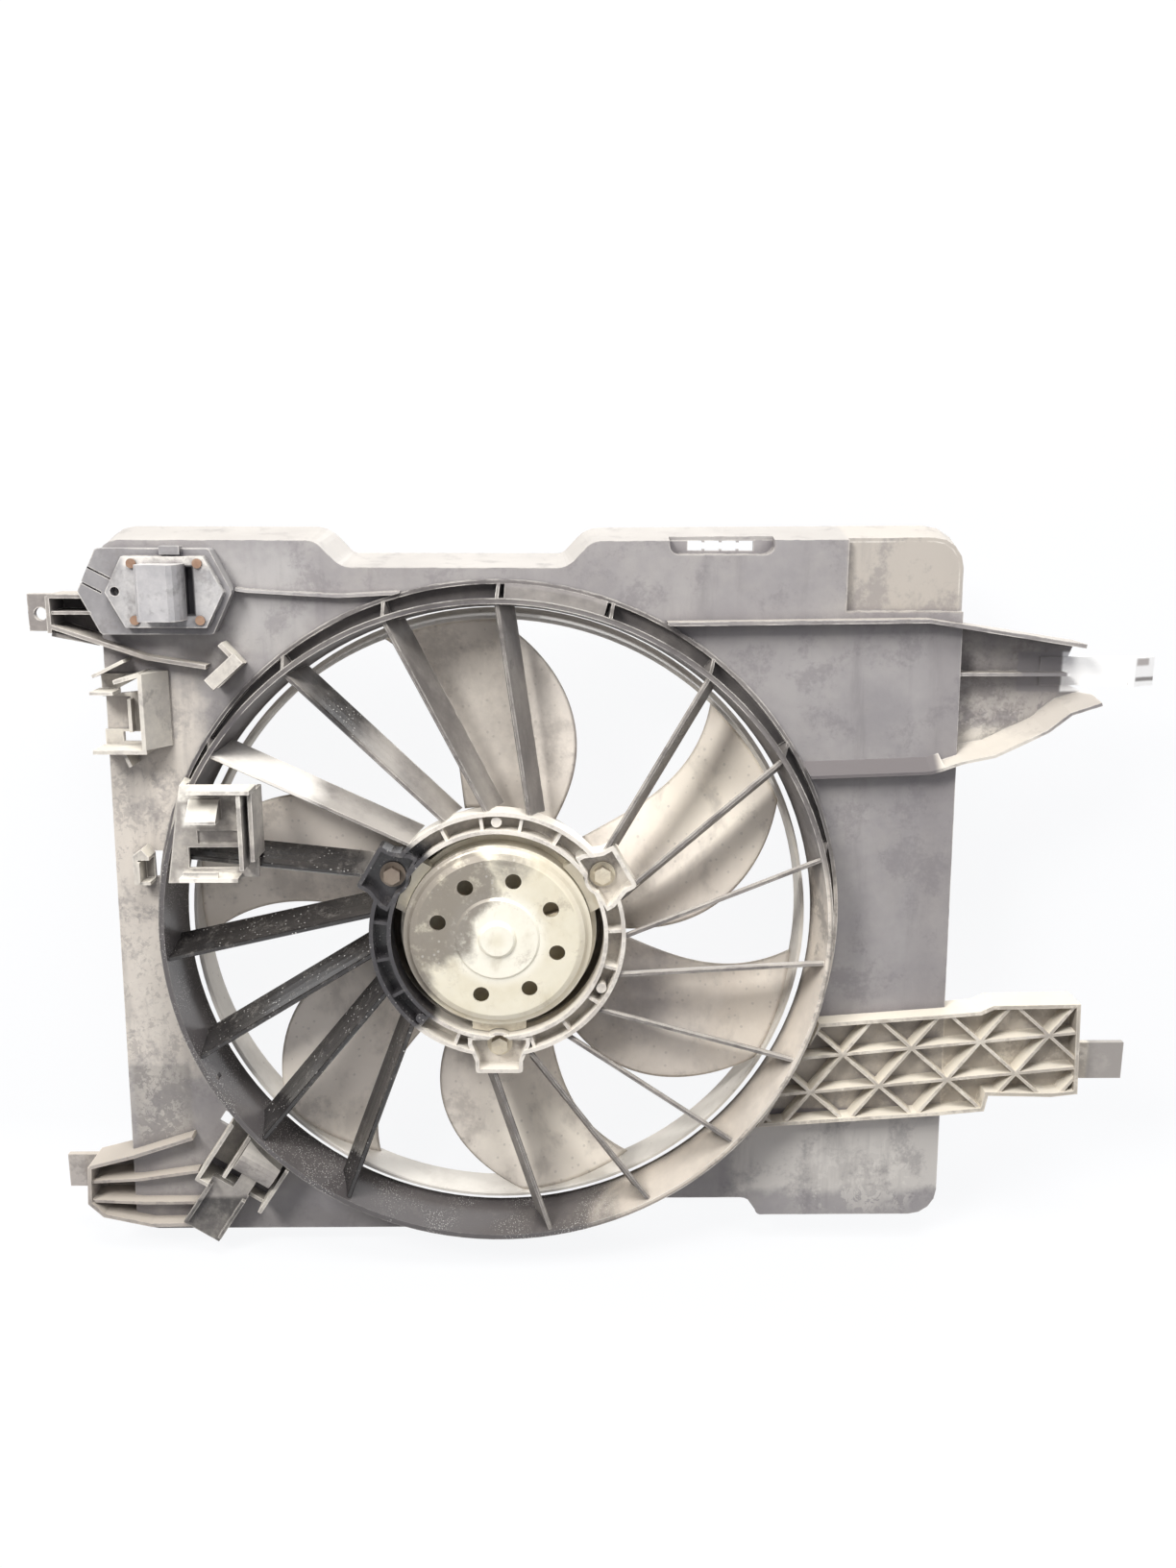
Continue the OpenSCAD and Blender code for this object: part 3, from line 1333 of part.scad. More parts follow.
// Spring clip that holds the hub on the shaft
module fan_clip() color(zinc) rearward() {
    translate([0, 0, shaft_front + 1.55]) difference() {
        cylinder(r = 9, h = 1.1, $fn = small_fn);
        translate([0, 0, -1]) cylinder(r = shaft_r - 0.58, h = 4, $fn = small_fn);
        block(-2, 2, 0, 12, -1, 4);
    }
}

shroud_panel();
shroud_rim();
fan_tunnel();
stator_vanes();
motor_ring();
arm_upper_left();
arm_upper_right();
arm_lower_left();
arm_lower_right();
relay_bracket();
lead_bracket();
lead_hook();
lead_clip();
plug_holder();
motor_plug();
resistor_carrier();
resistor_plate();
resistor_socket();
resistor_terminals();
resistor_rivets();
resistor_coil();
motor_can();
motor_end_cap();
motor_flange();
motor_bolts();
motor_nuts();
motor_magnets();
brush_plate();
brushes();
brush_springs();
front_bearing();
rear_bearing();
fan_hub();
fan_blades();
fan_band();
fan_clip();
motor_shaft();
armature_core();
armature_windings();
commutator();
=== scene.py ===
# Looks of a radiator cooling fan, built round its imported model.
# Metres; X is right, Z is up, the camera looks along +Y.
import bpy
import math
from mathutils import Matrix, Vector


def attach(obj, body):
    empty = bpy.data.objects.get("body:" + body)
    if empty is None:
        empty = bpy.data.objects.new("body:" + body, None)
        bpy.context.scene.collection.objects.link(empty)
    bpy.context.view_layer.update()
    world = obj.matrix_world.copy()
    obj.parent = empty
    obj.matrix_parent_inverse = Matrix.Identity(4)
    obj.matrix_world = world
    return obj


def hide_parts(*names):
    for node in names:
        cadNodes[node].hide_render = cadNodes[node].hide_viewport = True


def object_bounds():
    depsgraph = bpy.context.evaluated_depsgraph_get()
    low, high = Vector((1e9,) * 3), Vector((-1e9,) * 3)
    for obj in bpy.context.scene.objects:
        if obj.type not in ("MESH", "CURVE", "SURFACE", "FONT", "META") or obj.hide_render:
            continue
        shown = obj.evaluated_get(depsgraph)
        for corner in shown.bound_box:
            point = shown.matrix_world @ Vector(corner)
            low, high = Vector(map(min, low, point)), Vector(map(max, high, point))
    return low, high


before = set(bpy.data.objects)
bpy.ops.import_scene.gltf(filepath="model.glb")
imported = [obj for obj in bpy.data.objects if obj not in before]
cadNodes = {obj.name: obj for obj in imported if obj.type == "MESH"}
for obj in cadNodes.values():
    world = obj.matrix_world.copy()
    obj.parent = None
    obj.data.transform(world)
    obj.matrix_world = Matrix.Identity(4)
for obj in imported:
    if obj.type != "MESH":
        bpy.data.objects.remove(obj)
cadLow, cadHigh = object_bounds()
mm = 0.001
print("frame loaded:", len(cadNodes), "nodes")

# Camera: the photograph's own viewpoint
cameraSettings = {
    "place": (0.0439, -0.8322, 0.2703),
    "pitchDown": 12.79,
    "yawRight": 0.88,
    "roll": -0.20,
    "focalPixels": 1350,
    "imageHeight": 1632,
    "sensor": 36,
    "reach": 20,
}


def makeCamera(s):
    pitch, yaw, roll = (math.radians(s[k]) for k in ("pitchDown", "yawRight", "roll"))
    ahead = Vector((math.sin(yaw) * math.cos(pitch), math.cos(yaw) * math.cos(pitch), -math.sin(pitch)))
    right = Vector((math.cos(yaw), -math.sin(yaw), 0))
    down = ahead.cross(right)
    rightTurned = math.cos(roll) * right + math.sin(roll) * down
    downTurned = math.cos(roll) * down - math.sin(roll) * right
    data = bpy.data.cameras.new("camera")
    data.sensor_width = s["sensor"]
    data.lens = s["focalPixels"] / s["imageHeight"] * s["sensor"]
    data.clip_end = s["reach"]
    camera = bpy.data.objects.new("camera", data)
    turn = Matrix((rightTurned, -downTurned, -ahead)).transposed()
    camera.matrix_world = Matrix.Translation(s["place"]) @ turn.to_4x4()
    bpy.context.scene.collection.objects.link(camera)
    bpy.context.scene.camera = camera


makeCamera(cameraSettings)
print("camera placed")


# Helpers for node trees

def put(tree, value, socket):
    # a socket is linked, anything else is set as the socket's value
    if isinstance(value, bpy.types.NodeSocket):
        tree.links.new(value, socket)
    else:
        socket.default_value = value


def calc(tree, operation, *values):
    node = tree.nodes.new("ShaderNodeMath")
    node.operation = operation
    for socket, value in zip(node.inputs, values):
        put(tree, value, socket)
    return node.outputs[0]


def times(tree, a, b):
    return calc(tree, "MULTIPLY", a, b)


def plus(tree, a, b):
    return calc(tree, "ADD", a, b)


def minus(tree, a, b):
    return calc(tree, "SUBTRACT", a, b)


def vectorCalc(tree, operation, *values):
    node = tree.nodes.new("ShaderNodeVectorMath")
    node.operation = operation
    for socket, value in zip(node.inputs, values):
        put(tree, value, socket)
    return node.outputs["Value" if operation in ("LENGTH", "DOT_PRODUCT") else "Vector"]


def softStep(tree, value, low, high):
    node = tree.nodes.new("ShaderNodeMapRange")
    node.interpolation_type = "SMOOTHSTEP"
    put(tree, value, node.inputs["Value"])
    put(tree, low, node.inputs["From Min"])
    put(tree, high, node.inputs["From Max"])
    return node.outputs["Result"]


def noiseOf(tree, place, scale, detail, roughness, distortion=0.0):
    node = tree.nodes.new("ShaderNodeTexNoise")
    put(tree, place, node.inputs["Vector"])
    put(tree, scale, node.inputs["Scale"])
    put(tree, detail, node.inputs["Detail"])
    put(tree, roughness, node.inputs["Roughness"])
    put(tree, distortion, node.inputs["Distortion"])
    return node.outputs["Fac"]


def cellsOf(tree, place, scale):
    node = tree.nodes.new("ShaderNodeTexVoronoi")
    put(tree, place, node.inputs["Vector"])
    put(tree, scale, node.inputs["Scale"])
    return node


def tint(tree, mask, under, over):
    node = tree.nodes.new("ShaderNodeMix")
    node.data_type = "RGBA"
    put(tree, mask, node.inputs[0])
    put(tree, under, node.inputs[6])
    put(tree, over, node.inputs[7])
    return node.outputs[2]


def between(tree, mask, low, high):
    # a number that runs from low to high with the mask
    node = tree.nodes.new("ShaderNodeMix")
    put(tree, mask, node.inputs[0])
    put(tree, low, node.inputs[2])
    put(tree, high, node.inputs[3])
    return node.outputs[0]


def split(tree, vector):
    node = tree.nodes.new("ShaderNodeSeparateXYZ")
    put(tree, vector, node.inputs[0])
    return node.outputs


def newGroup(name, inputs, outputs):
    kinds = {"V": "NodeSocketVector", "F": "NodeSocketFloat"}
    group = bpy.data.node_groups.new(name, "ShaderNodeTree")
    for label, kind, value in inputs:
        socket = group.interface.new_socket(name=label, in_out="INPUT", socket_type=kinds[kind])
        socket.default_value = value
    for label, kind in outputs:
        group.interface.new_socket(name=label, in_out="OUTPUT", socket_type=kinds[kind])
    given = group.nodes.new("NodeGroupInput").outputs
    wanted = group.nodes.new("NodeGroupOutput").inputs
    return group, given, wanted


def use(tree, group, **values):
    # spaces in socket names are left out of the keywords
    node = tree.nodes.new("ShaderNodeGroup")
    node.node_tree = group
    for socket in node.inputs:
        key = socket.name.replace(" ", "")
        if key in values:
            put(tree, values[key], socket)
    return node.outputs


# Shader groups shared by the materials

def dustGroup():
    group, given, wanted = newGroup(
        "settledDust",
        [("Vector", "V", (0, 0, 0)), ("Scale", "F", 18), ("Cover", "F", 0.5), ("Softness", "F", 0.2),
         ("Top Bias", "F", 0.4)],
        [("Mask", "F"), ("Height", "F")],
    )
    broad = noiseOf(group, given["Vector"], given["Scale"], detail=6, roughness=0.62, distortion=0.3)
    finer = times(group, given["Scale"], 9.0)
    fine = noiseOf(group, given["Vector"], finer, detail=4, roughness=0.7)
    normal = group.nodes.new("ShaderNodeTexCoord").outputs["Normal"]
    upward = calc(group, "MAXIMUM", split(group, normal)[2], 0.0)
    mixed = plus(group, times(group, broad, 0.72), times(group, fine, 0.28))
    lifted = plus(group, mixed, times(group, upward, given["Top Bias"]))
    middle = minus(group, 1.0, given["Cover"])
    low = minus(group, middle, given["Softness"])
    high = plus(group, middle, given["Softness"])
    mask = softStep(group, lifted, low, high)
    put(group, mask, wanted["Mask"])
    put(group, between(group, 0.5, mask, fine), wanted["Height"])
    return group


def grainGroup():
    group, given, wanted = newGroup(
        "mouldedGrain",
        [("Vector", "V", (0, 0, 0)), ("Scale", "F", 700)],
        [("Height", "F"), ("Tone", "F")],
    )
    pebbles = cellsOf(group, given["Vector"], given["Scale"]).outputs["Distance"]
    coarser = times(group, given["Scale"], 0.6)
    rough = noiseOf(group, given["Vector"], coarser, detail=3, roughness=0.6)
    put(group, between(group, 0.5, pebbles, rough), wanted["Height"])
    broad = times(group, given["Scale"], 0.03)
    cloudy = noiseOf(group, given["Vector"], broad, detail=5, roughness=0.6)
    put(group, softStep(group, cloudy, 0.3, 0.7), wanted["Tone"])
    return group


def edgeHighlightGroup():
    # rubbed edges, lightened also as a painted highlight along every edge
    group, given, wanted = newGroup(
        "rubbedEdgeHighlight",
        [("Vector", "V", (0, 0, 0)), ("Width", "F", 0.0012), ("Breaks", "F", 90)],
        [("Mask", "F")],
    )
    bevel = group.nodes.new("ShaderNodeBevel")
    bevel.samples = 6
    put(group, given["Width"], bevel.inputs["Radius"])
    plain = group.nodes.new("ShaderNodeNewGeometry").outputs["Normal"]
    likeness = vectorCalc(group, "DOT_PRODUCT", bevel.outputs["Normal"], plain)
    corner = softStep(group, minus(group, 1.0, likeness), 0.01, 0.16)
    broken = noiseOf(group, given["Vector"], given["Breaks"], detail=4, roughness=0.65)
    breaks = softStep(group, broken, 0.36, 0.6)
    put(group, times(group, corner, breaks), wanted["Mask"])
    return group


def oilGroup():
    group, given, wanted = newGroup(
        "oilFilm",
        [("Vector", "V", (0, 0, 0)), ("Centre", "V", (0, 0, 0)), ("Reach", "F", 0.08), ("Fade", "F", 0.03),
         ("Ragged", "F", 0.03)],
        [("Mask", "F")],
    )
    # depth counts little, so that a splash reaches through from front to back
    apart = vectorCalc(group, "SUBTRACT", given["Vector"], given["Centre"])
    distance = vectorCalc(group, "LENGTH", vectorCalc(group, "MULTIPLY", apart, (1, 0.2, 1)))
    cloudy = noiseOf(group, given["Vector"], 26.0, detail=6, roughness=0.65, distortion=0.4)
    wander = minus(group, cloudy, 0.5)
    twice = times(group, given["Ragged"], 2.0)
    shifted = plus(group, distance, times(group, wander, twice))
    inner = minus(group, given["Reach"], given["Fade"])
    put(group, minus(group, 1.0, softStep(group, shifted, inner, given["Reach"])), wanted["Mask"])
    return group


def zoneGroup():
    # a soft box in X and Z with a wandering edge
    group, given, wanted = newGroup(
        "softZone",
        [("Vector", "V", (0, 0, 0)), ("Low", "V", (0, 0, 0)), ("High", "V", (0, 0, 0)), ("Fade", "F", 0.006),
         ("Ragged", "F", 0.0)],
        [("Mask", "F")],
    )
    cloudy = noiseOf(group, given["Vector"], 55.0, detail=5, roughness=0.6)
    wander = minus(group, cloudy, 0.5)
    push = times(group, wander, given["Ragged"])
    mask = None
    for axis in (0, 2):
        along = plus(group, split(group, given["Vector"])[axis], push)
        low, high = split(group, given["Low"])[axis], split(group, given["High"])[axis]
        up = softStep(group, along, low, plus(group, low, given["Fade"]))
        fading = softStep(group, along, minus(group, high, given["Fade"]), high)
        down = minus(group, 1.0, fading)
        part = times(group, up, down)
        mask = part if mask is None else times(group, mask, part)
    put(group, mask, wanted["Mask"])
    return group


def ringGroup():
    # a band of radii round the fan's axis
    group, given, wanted = newGroup(
        "ringZone",
        [("Vector", "V", (0, 0, 0)), ("From", "F", 0.1), ("To", "F", 0.2), ("Fade", "F", 0.004)],
        [("Mask", "F")],
    )
    radius = vectorCalc(group, "LENGTH", vectorCalc(group, "MULTIPLY", given["Vector"], (1, 0, 1)))
    up = softStep(group, radius, given["From"], plus(group, given["From"], given["Fade"]))
    fading = softStep(group, radius, minus(group, given["To"], given["Fade"]), given["To"])
    down = minus(group, 1.0, fading)
    put(group, times(group, up, down), wanted["Mask"])
    return group


def fleckGroup():
    group, given, wanted = newGroup(
        "paleFlecks",
        [("Vector", "V", (0, 0, 0)), ("Scale", "F", 260), ("Size", "F", 0.24), ("Share", "F", 0.35)],
        [("Mask", "F")],
    )
    cells = cellsOf(group, given["Vector"], given["Scale"])
    chosen = calc(group, "LESS_THAN", split(group, cells.outputs["Color"])[0], given["Share"])
    core = times(group, given["Size"], 0.6)
    dot = minus(group, 1.0, softStep(group, cells.outputs["Distance"], core, given["Size"]))
    put(group, times(group, dot, chosen), wanted["Mask"])
    return group


def flakeGroup():
    # patches where the dirt has come off in flakes, with a sharp outline
    group, given, wanted = newGroup(
        "flakedDirt",
        [("Vector", "V", (0, 0, 0)), ("Scale", "F", 60), ("Share", "F", 0.4)],
        [("Mask", "F")],
    )
    fine = noiseOf(group, given["Vector"], given["Scale"], detail=8, roughness=0.72, distortion=0.6)
    coarser = times(group, given["Scale"], 0.22)
    broad = noiseOf(group, given["Vector"], coarser, detail=3, roughness=0.5)
    total = plus(group, times(group, fine, 0.65), times(group, broad, 0.35))
    edge = minus(group, 0.68, times(group, given["Share"], 0.36))
    put(group, softStep(group, total, edge, plus(group, edge, 0.012)), wanted["Mask"])
    return group


def streakGroup():
    # runs and wipes along one direction
    group, given, wanted = newGroup(
        "wipeStreaks",
        [("Vector", "V", (0, 0, 0)), ("Stretch", "V", (60, 60, 9)), ("Low", "F", 0.5), ("High", "F", 0.75)],
        [("Mask", "F")],
    )
    pulled = vectorCalc(group, "MULTIPLY", given["Vector"], given["Stretch"])
    runs = noiseOf(group, pulled, 1.0, detail=5, roughness=0.6, distortion=0.2)
    put(group, softStep(group, runs, given["Low"], given["High"]), wanted["Mask"])
    return group


def creviceShadeGrimeGroup():
    # corners and pockets that little light reaches: painted shade there, with the grime that gathers
    group, given, wanted = newGroup(
        "creviceShadeGrime",
        [("Vector", "V", (0, 0, 0)), ("Reach", "F", 0.012), ("Low", "F", 0.35), ("High", "F", 0.8)],
        [("Mask", "F")],
    )
    openness = group.nodes.new("ShaderNodeAmbientOcclusion")
    openness.samples = 4
    put(group, given["Reach"], openness.inputs["Distance"])
    closed = minus(group, 1.0, openness.outputs["AO"])
    cloudy = noiseOf(group, given["Vector"], 70.0, detail=5, roughness=0.65)
    uneven = times(group, minus(group, cloudy, 0.5), 0.5)
    put(group, softStep(group, plus(group, closed, uneven), given["Low"], given["High"]), wanted["Mask"])
    return group


groups = {
    "crevice": creviceShadeGrimeGroup(), "dust": dustGroup(), "grain": grainGroup(), "edge": edgeHighlightGroup(),
    "oil": oilGroup(), "zone": zoneGroup(), "ring": ringGroup(), "fleck": fleckGroup(),
    "flake": flakeGroup(), "streak": streakGroup(),
}
print("shader groups built:", len(groups))

# What a look falls back on where it gives no value of its own
plainLook = {
    "zones": [], "rings": [], "over": [], "oil": [],
    "metallic": 0.0, "specular": 0.4, "roughSpread": 0.05, "bump": 0.35, "bumpDepth": 0.4 * mm,
    "grainScale": 700.0, "grainHeight": 0.35, "dustHeight": 0.65,
    "dustScale": 18.0, "dustCover": 0.4, "dustSoft": 0.2, "dustAmount": 0.8, "topBias": 0.4,
    "stretch": (60, 60, 9), "streakLow": 0.52, "streakHigh": 0.74, "streakAmount": 0.5,
    "grimeReach": 0.012, "grimeLow": 0.3, "grimeHigh": 0.75, "grimeAmount": 0.7,
    "smudgeScale": 34.0, "smudgeCover": 0.46, "smudgeSoft": 0.06, "smudgeBias": -0.5, "smudgeAmount": 0.5,
    "smudgeShift": (3.1, 1.7, 0.6),  # takes the smudges off the dust's own places
    "edgeWidth": 0.0012, "edgeBreaks": 90.0, "edgeAmount": 0.7,
    "oilColour": (0.012, 0.011, 0.012), "oilAmount": 0.95, "oilThin": 0.72, "oilFade": 0.03,
    "oilScale": 120.0, "oilRoughness": 0.32, "oilCoat": 0.5, "oilCoatRoughness": 0.22,
    "fleckScale": 300.0, "fleckSize": 0.3, "fleckShare": 0.3, "fleckHeight": 0.5, "swarmScale": 30.0,
    "oilFleck": (0.8, 0.78, 0.74),
}


def solid(colour):
    return (*colour, 1.0)


def area(across, upward, colour, fade, amount, ragged=0.004, flakes=None, scale=None, deeperThan=None):
    # a painted patch by its reach in X and in Z; flakes is the share that has come off, at its own scale
    return {
        "low": (across[0], 0, upward[0]), "high": (across[1], 0, upward[1]), "colour": colour, "fade": fade,
        "ragged": ragged, "amount": amount, "flakes": flakes, "scale": scale, "deeperThan": deeperThan,
    }


def ringBand(inner, outer, colour, amount, fade):
    # a painted band between two radii round the fan's axis
    return {"from": inner, "to": outer, "colour": colour, "amount": amount, "fade": fade}


def newMaterial(name):
    material = bpy.data.materials.new(name)
    material.use_nodes = True
    tree = material.node_tree
    shader = tree.nodes["Principled BSDF"]
    return material, tree, shader


def cover(tree, colour, mask, amount, over):
    # one more layer of paint or dirt on a colour
    return tint(tree, times(tree, mask, amount), colour, solid(over))


def paintArea(tree, place, shown, colour, zone):
    mask = use(tree, groups["zone"], Vector=place, Low=zone["low"], High=zone["high"],
               Fade=zone["fade"], Ragged=zone["ragged"])["Mask"]
    if zone["flakes"] is not None:
        flakes = use(tree, groups["flake"], Vector=place, Scale=zone["scale"], Share=zone["flakes"])["Mask"]
        mask = times(tree, mask, flakes)
    if zone["deeperThan"] is not None:
        blend = 2 * mm
        depth = split(tree, place)[1]
        deep = softStep(tree, depth, zone["deeperThan"] - blend, zone["deeperThan"] + blend)
        mask = times(tree, mask, deep)
    return cover(tree, colour, mask, times(tree, shown, zone["amount"]), zone["colour"])


def paint(name, given):
    # one recipe for every dirty surface: plastic or metal, dust, patches, rubbed edges, oil and flecks
    look = {**plainLook, **given}
    material, tree, shader = newMaterial(name)
    material.diffuse_color = solid(look["base"])
    coordinates = tree.nodes.new("ShaderNodeTexCoord").outputs
    place = coordinates["Object"]
    grain = use(tree, groups["grain"], Vector=place, Scale=look["grainScale"])
    colour = tint(tree, grain["Tone"], solid(look["base"]), solid(look["cloud"]))
    spread = look["roughSpread"]
    rough = between(tree, grain["Tone"], look["roughness"] - spread, look["roughness"] + spread)

    # patches, on the faces that are not turned to the radiator's side
    shown = None
    if look["zones"] or look["over"]:
        away = softStep(tree, split(tree, coordinates["Normal"])[1], 0.3, 0.6)
        shown = minus(tree, 1.0, away)
    for zone in look["zones"]:
        colour = paintArea(tree, place, shown, colour, zone)
    for ring in look["rings"]:
        band = use(tree, groups["ring"], Vector=place, From=ring["from"], To=ring["to"],
                   Fade=ring["fade"])["Mask"]
        colour = cover(tree, colour, band, ring["amount"], ring["colour"])

    # dust, wipes, painted crevice shade with grime, smudges, and rubbed edges with a painted highlight
    dust = use(tree, groups["dust"], Vector=place, Scale=look["dustScale"], Cover=look["dustCover"],
               Softness=look["dustSoft"], TopBias=look["topBias"])
    colour = cover(tree, colour, dust["Mask"], look["dustAmount"], look["dust"])
    if "streak" in look:
        wipes = use(tree, groups["streak"], Vector=place, Stretch=look["stretch"],
                    Low=look["streakLow"], High=look["streakHigh"])["Mask"]
        colour = cover(tree, colour, wipes, look["streakAmount"], look["streak"])
    # painted shade in corners and pockets, with grime
    if "grime" in look:
        closed = use(tree, groups["crevice"], Vector=place, Reach=look["grimeReach"],
                     Low=look["grimeLow"], High=look["grimeHigh"])["Mask"]
        colour = cover(tree, colour, closed, look["grimeAmount"], look["grime"])
    if "smudge" in look:
        moved = vectorCalc(tree, "ADD", place, look["smudgeShift"])
        marks = use(tree, groups["dust"], Vector=moved, Scale=look["smudgeScale"], Cover=look["smudgeCover"],
                    Softness=look["smudgeSoft"], TopBias=look["smudgeBias"])["Mask"]
        colour = cover(tree, colour, marks, look["smudgeAmount"], look["smudge"])
    # rubbed edges with a painted highlight along them
    if "edge" in look:
        edgeRubHighlight = use(tree, groups["edge"], Vector=place, Width=look["edgeWidth"],
                  Breaks=look["edgeBreaks"])["Mask"]
        colour = cover(tree, colour, edgeRubHighlight, look["edgeAmount"], look["edge"])
    for zone in look["over"]:
        colour = paintArea(tree, place, shown, colour, zone)

    # thrown oil with pale flecks in it that stand partly for painted glints, or flecks alone
    height = plus(tree, times(tree, grain["Height"], look["grainHeight"]),
                  times(tree, dust["Height"], look["dustHeight"]))
    oilMask = None
    for centre, reach, ragged in look["oil"]:
        splash = use(tree, groups["oil"], Vector=place, Centre=centre, Reach=reach,
                     Fade=look["oilFade"], Ragged=ragged)["Mask"]
        oilMask = splash if oilMask is None else calc(tree, "MAXIMUM", oilMask, splash)
    if oilMask is not None:
        if "oilRing" in look:
            inner, outer = look["oilRing"]
            inRing = use(tree, groups["ring"], Vector=place, From=inner, To=outer, Fade=2 * mm)["Mask"]
            oilMask = times(tree, oilMask, inRing)
        patchy = softStep(tree, noiseOf(tree, place, look["oilScale"], detail=6, roughness=0.7), 0.25, 0.5)
        film = times(tree, oilMask, between(tree, patchy, look["oilThin"], 1.0))
        colour = cover(tree, colour, film, look["oilAmount"], look["oilColour"])
        rough = between(tree, film, rough, look["oilRoughness"])
        specks = use(tree, groups["fleck"], Vector=place, Scale=look["fleckScale"], Size=look["fleckSize"],
                     Share=look["fleckShare"])["Mask"]
        swarm = softStep(tree, noiseOf(tree, place, look["swarmScale"], detail=3, roughness=0.5), 0.42, 0.6)
        # pale specks in the oil: partly real specks, partly painted glints
        glintFlecks = times(tree, times(tree, specks, film), swarm)
        colour = cover(tree, colour, glintFlecks, look["fleckAmount"], look["oilFleck"])
        height = plus(tree, height, times(tree, specks, look["fleckHeight"]))
        put(tree, times(tree, film, look["oilCoat"]), shader.inputs["Coat Weight"])
        shader.inputs["Coat Roughness"].default_value = look["oilCoatRoughness"]
    elif "flecks" in look:
        specks = use(tree, groups["fleck"], Vector=place, Scale=look["fleckScale"], Size=look["fleckSize"],
                     Share=look["flecks"])["Mask"]
        colour = cover(tree, colour, specks, look["fleckAmount"], look["fleckColour"])

    put(tree, colour, shader.inputs["Base Color"])
    put(tree, rough, shader.inputs["Roughness"])
    bump = tree.nodes.new("ShaderNodeBump")
    bump.inputs["Strength"].default_value = look["bump"]
    bump.inputs["Distance"].default_value = look["bumpDepth"]
    put(tree, height, bump.inputs["Height"])
    put(tree, bump.outputs["Normal"], shader.inputs["Normal"])
    shader.inputs["Metallic"].default_value = look["metallic"]
    shader.inputs["Specular IOR Level"].default_value = look["specular"]
    return material


def dress(names, material):
    for name in names:
        mesh = cadNodes[name].data
        mesh.materials.clear()
        mesh.materials.append(material)


cream = (0.90, 0.86, 0.79)

# Panel: mid grey with settled dust, paler and flaked on the left and lower right, brown in the corner recess
panelLook = {
    "base": (0.285, 0.270, 0.276), "cloud": (0.375, 0.356, 0.352), "roughness": 0.62,
    "dust": (0.50, 0.465, 0.42), "dustCover": 0.38, "dustScale": 9.0, "dustAmount": 0.5, "topBias": 0.7,
    "edge": cream, "edgeAmount": 0.6,
    "streak": (0.20, 0.188, 0.19), "streakAmount": 0.4,
    "grime": (0.075, 0.065, 0.078), "grimeReach": 0.016, "grimeAmount": 0.75,
    "smudge": (0.195, 0.18, 0.19), "smudgeScale": 32.0, "smudgeCover": 0.43, "smudgeAmount": 0.45,
    "zones": [
        area((-0.28, -0.17), (-0.12, 0.17), (0.80, 0.735, 0.65), fade=0.03, ragged=0.05, amount=0.68),
        area((-0.28, -0.19), (-0.15, 0.12), (0.30, 0.275, 0.265), flakes=0.42, scale=240.0, fade=0.02,
             ragged=0.03, amount=0.45),
        area((0.258, 0.31), (-0.12, 0.19), (0.23, 0.212, 0.218), fade=0.018, ragged=0.01, amount=0.4),
        area((-0.28, -0.10), (0.155, 0.25), (0.55, 0.535, 0.52), fade=0.03, ragged=0.05, amount=0.4),
        area((0.212, 0.288), (0.196, 0.262), (0.50, 0.455, 0.40), fade=0.004, amount=0.85),
        area((0.15, 0.31), (-0.199, -0.133), (0.66, 0.63, 0.585), fade=0.010, ragged=0.02, amount=0.75),
        area((-0.245, -0.203), (-0.162, -0.098), (0.23, 0.215, 0.205), fade=0.004, amount=0.7),
        area((-0.26, -0.198), (-0.17, 0.0), (0.72, 0.675, 0.61), flakes=0.5, scale=280.0, fade=0.03,
             ragged=0.03, amount=0.45),
        area((0.19, 0.285), (-0.215, -0.15), (0.70, 0.67, 0.625), flakes=0.5, scale=130.0, fade=0.02,
             ragged=0.03, amount=0.55),
        area((0.17, 0.31), (-0.133, -0.066), (0.78, 0.715, 0.61), fade=0.0015, ragged=0.0005, amount=0.8),
        # painted shade on the strip of panel below the rim at the lower left
        area((-0.26, -0.05), (-0.23, -0.195), (0.20, 0.185, 0.175), fade=0.02, ragged=0.02, amount=0.5),
    ],
}
dress(["shroud_panel"], paint("panelPlastic", panelLook))
rimLook = dict(
    panelLook, base=(0.33, 0.312, 0.305), cloud=(0.43, 0.41, 0.395), dust=(0.60, 0.57, 0.525),
    edge=(0.85, 0.82, 0.76), edgeAmount=0.7, topBias=0.9,
)
dress(["shroud_rim"], paint("rimPlastic", rimLook))

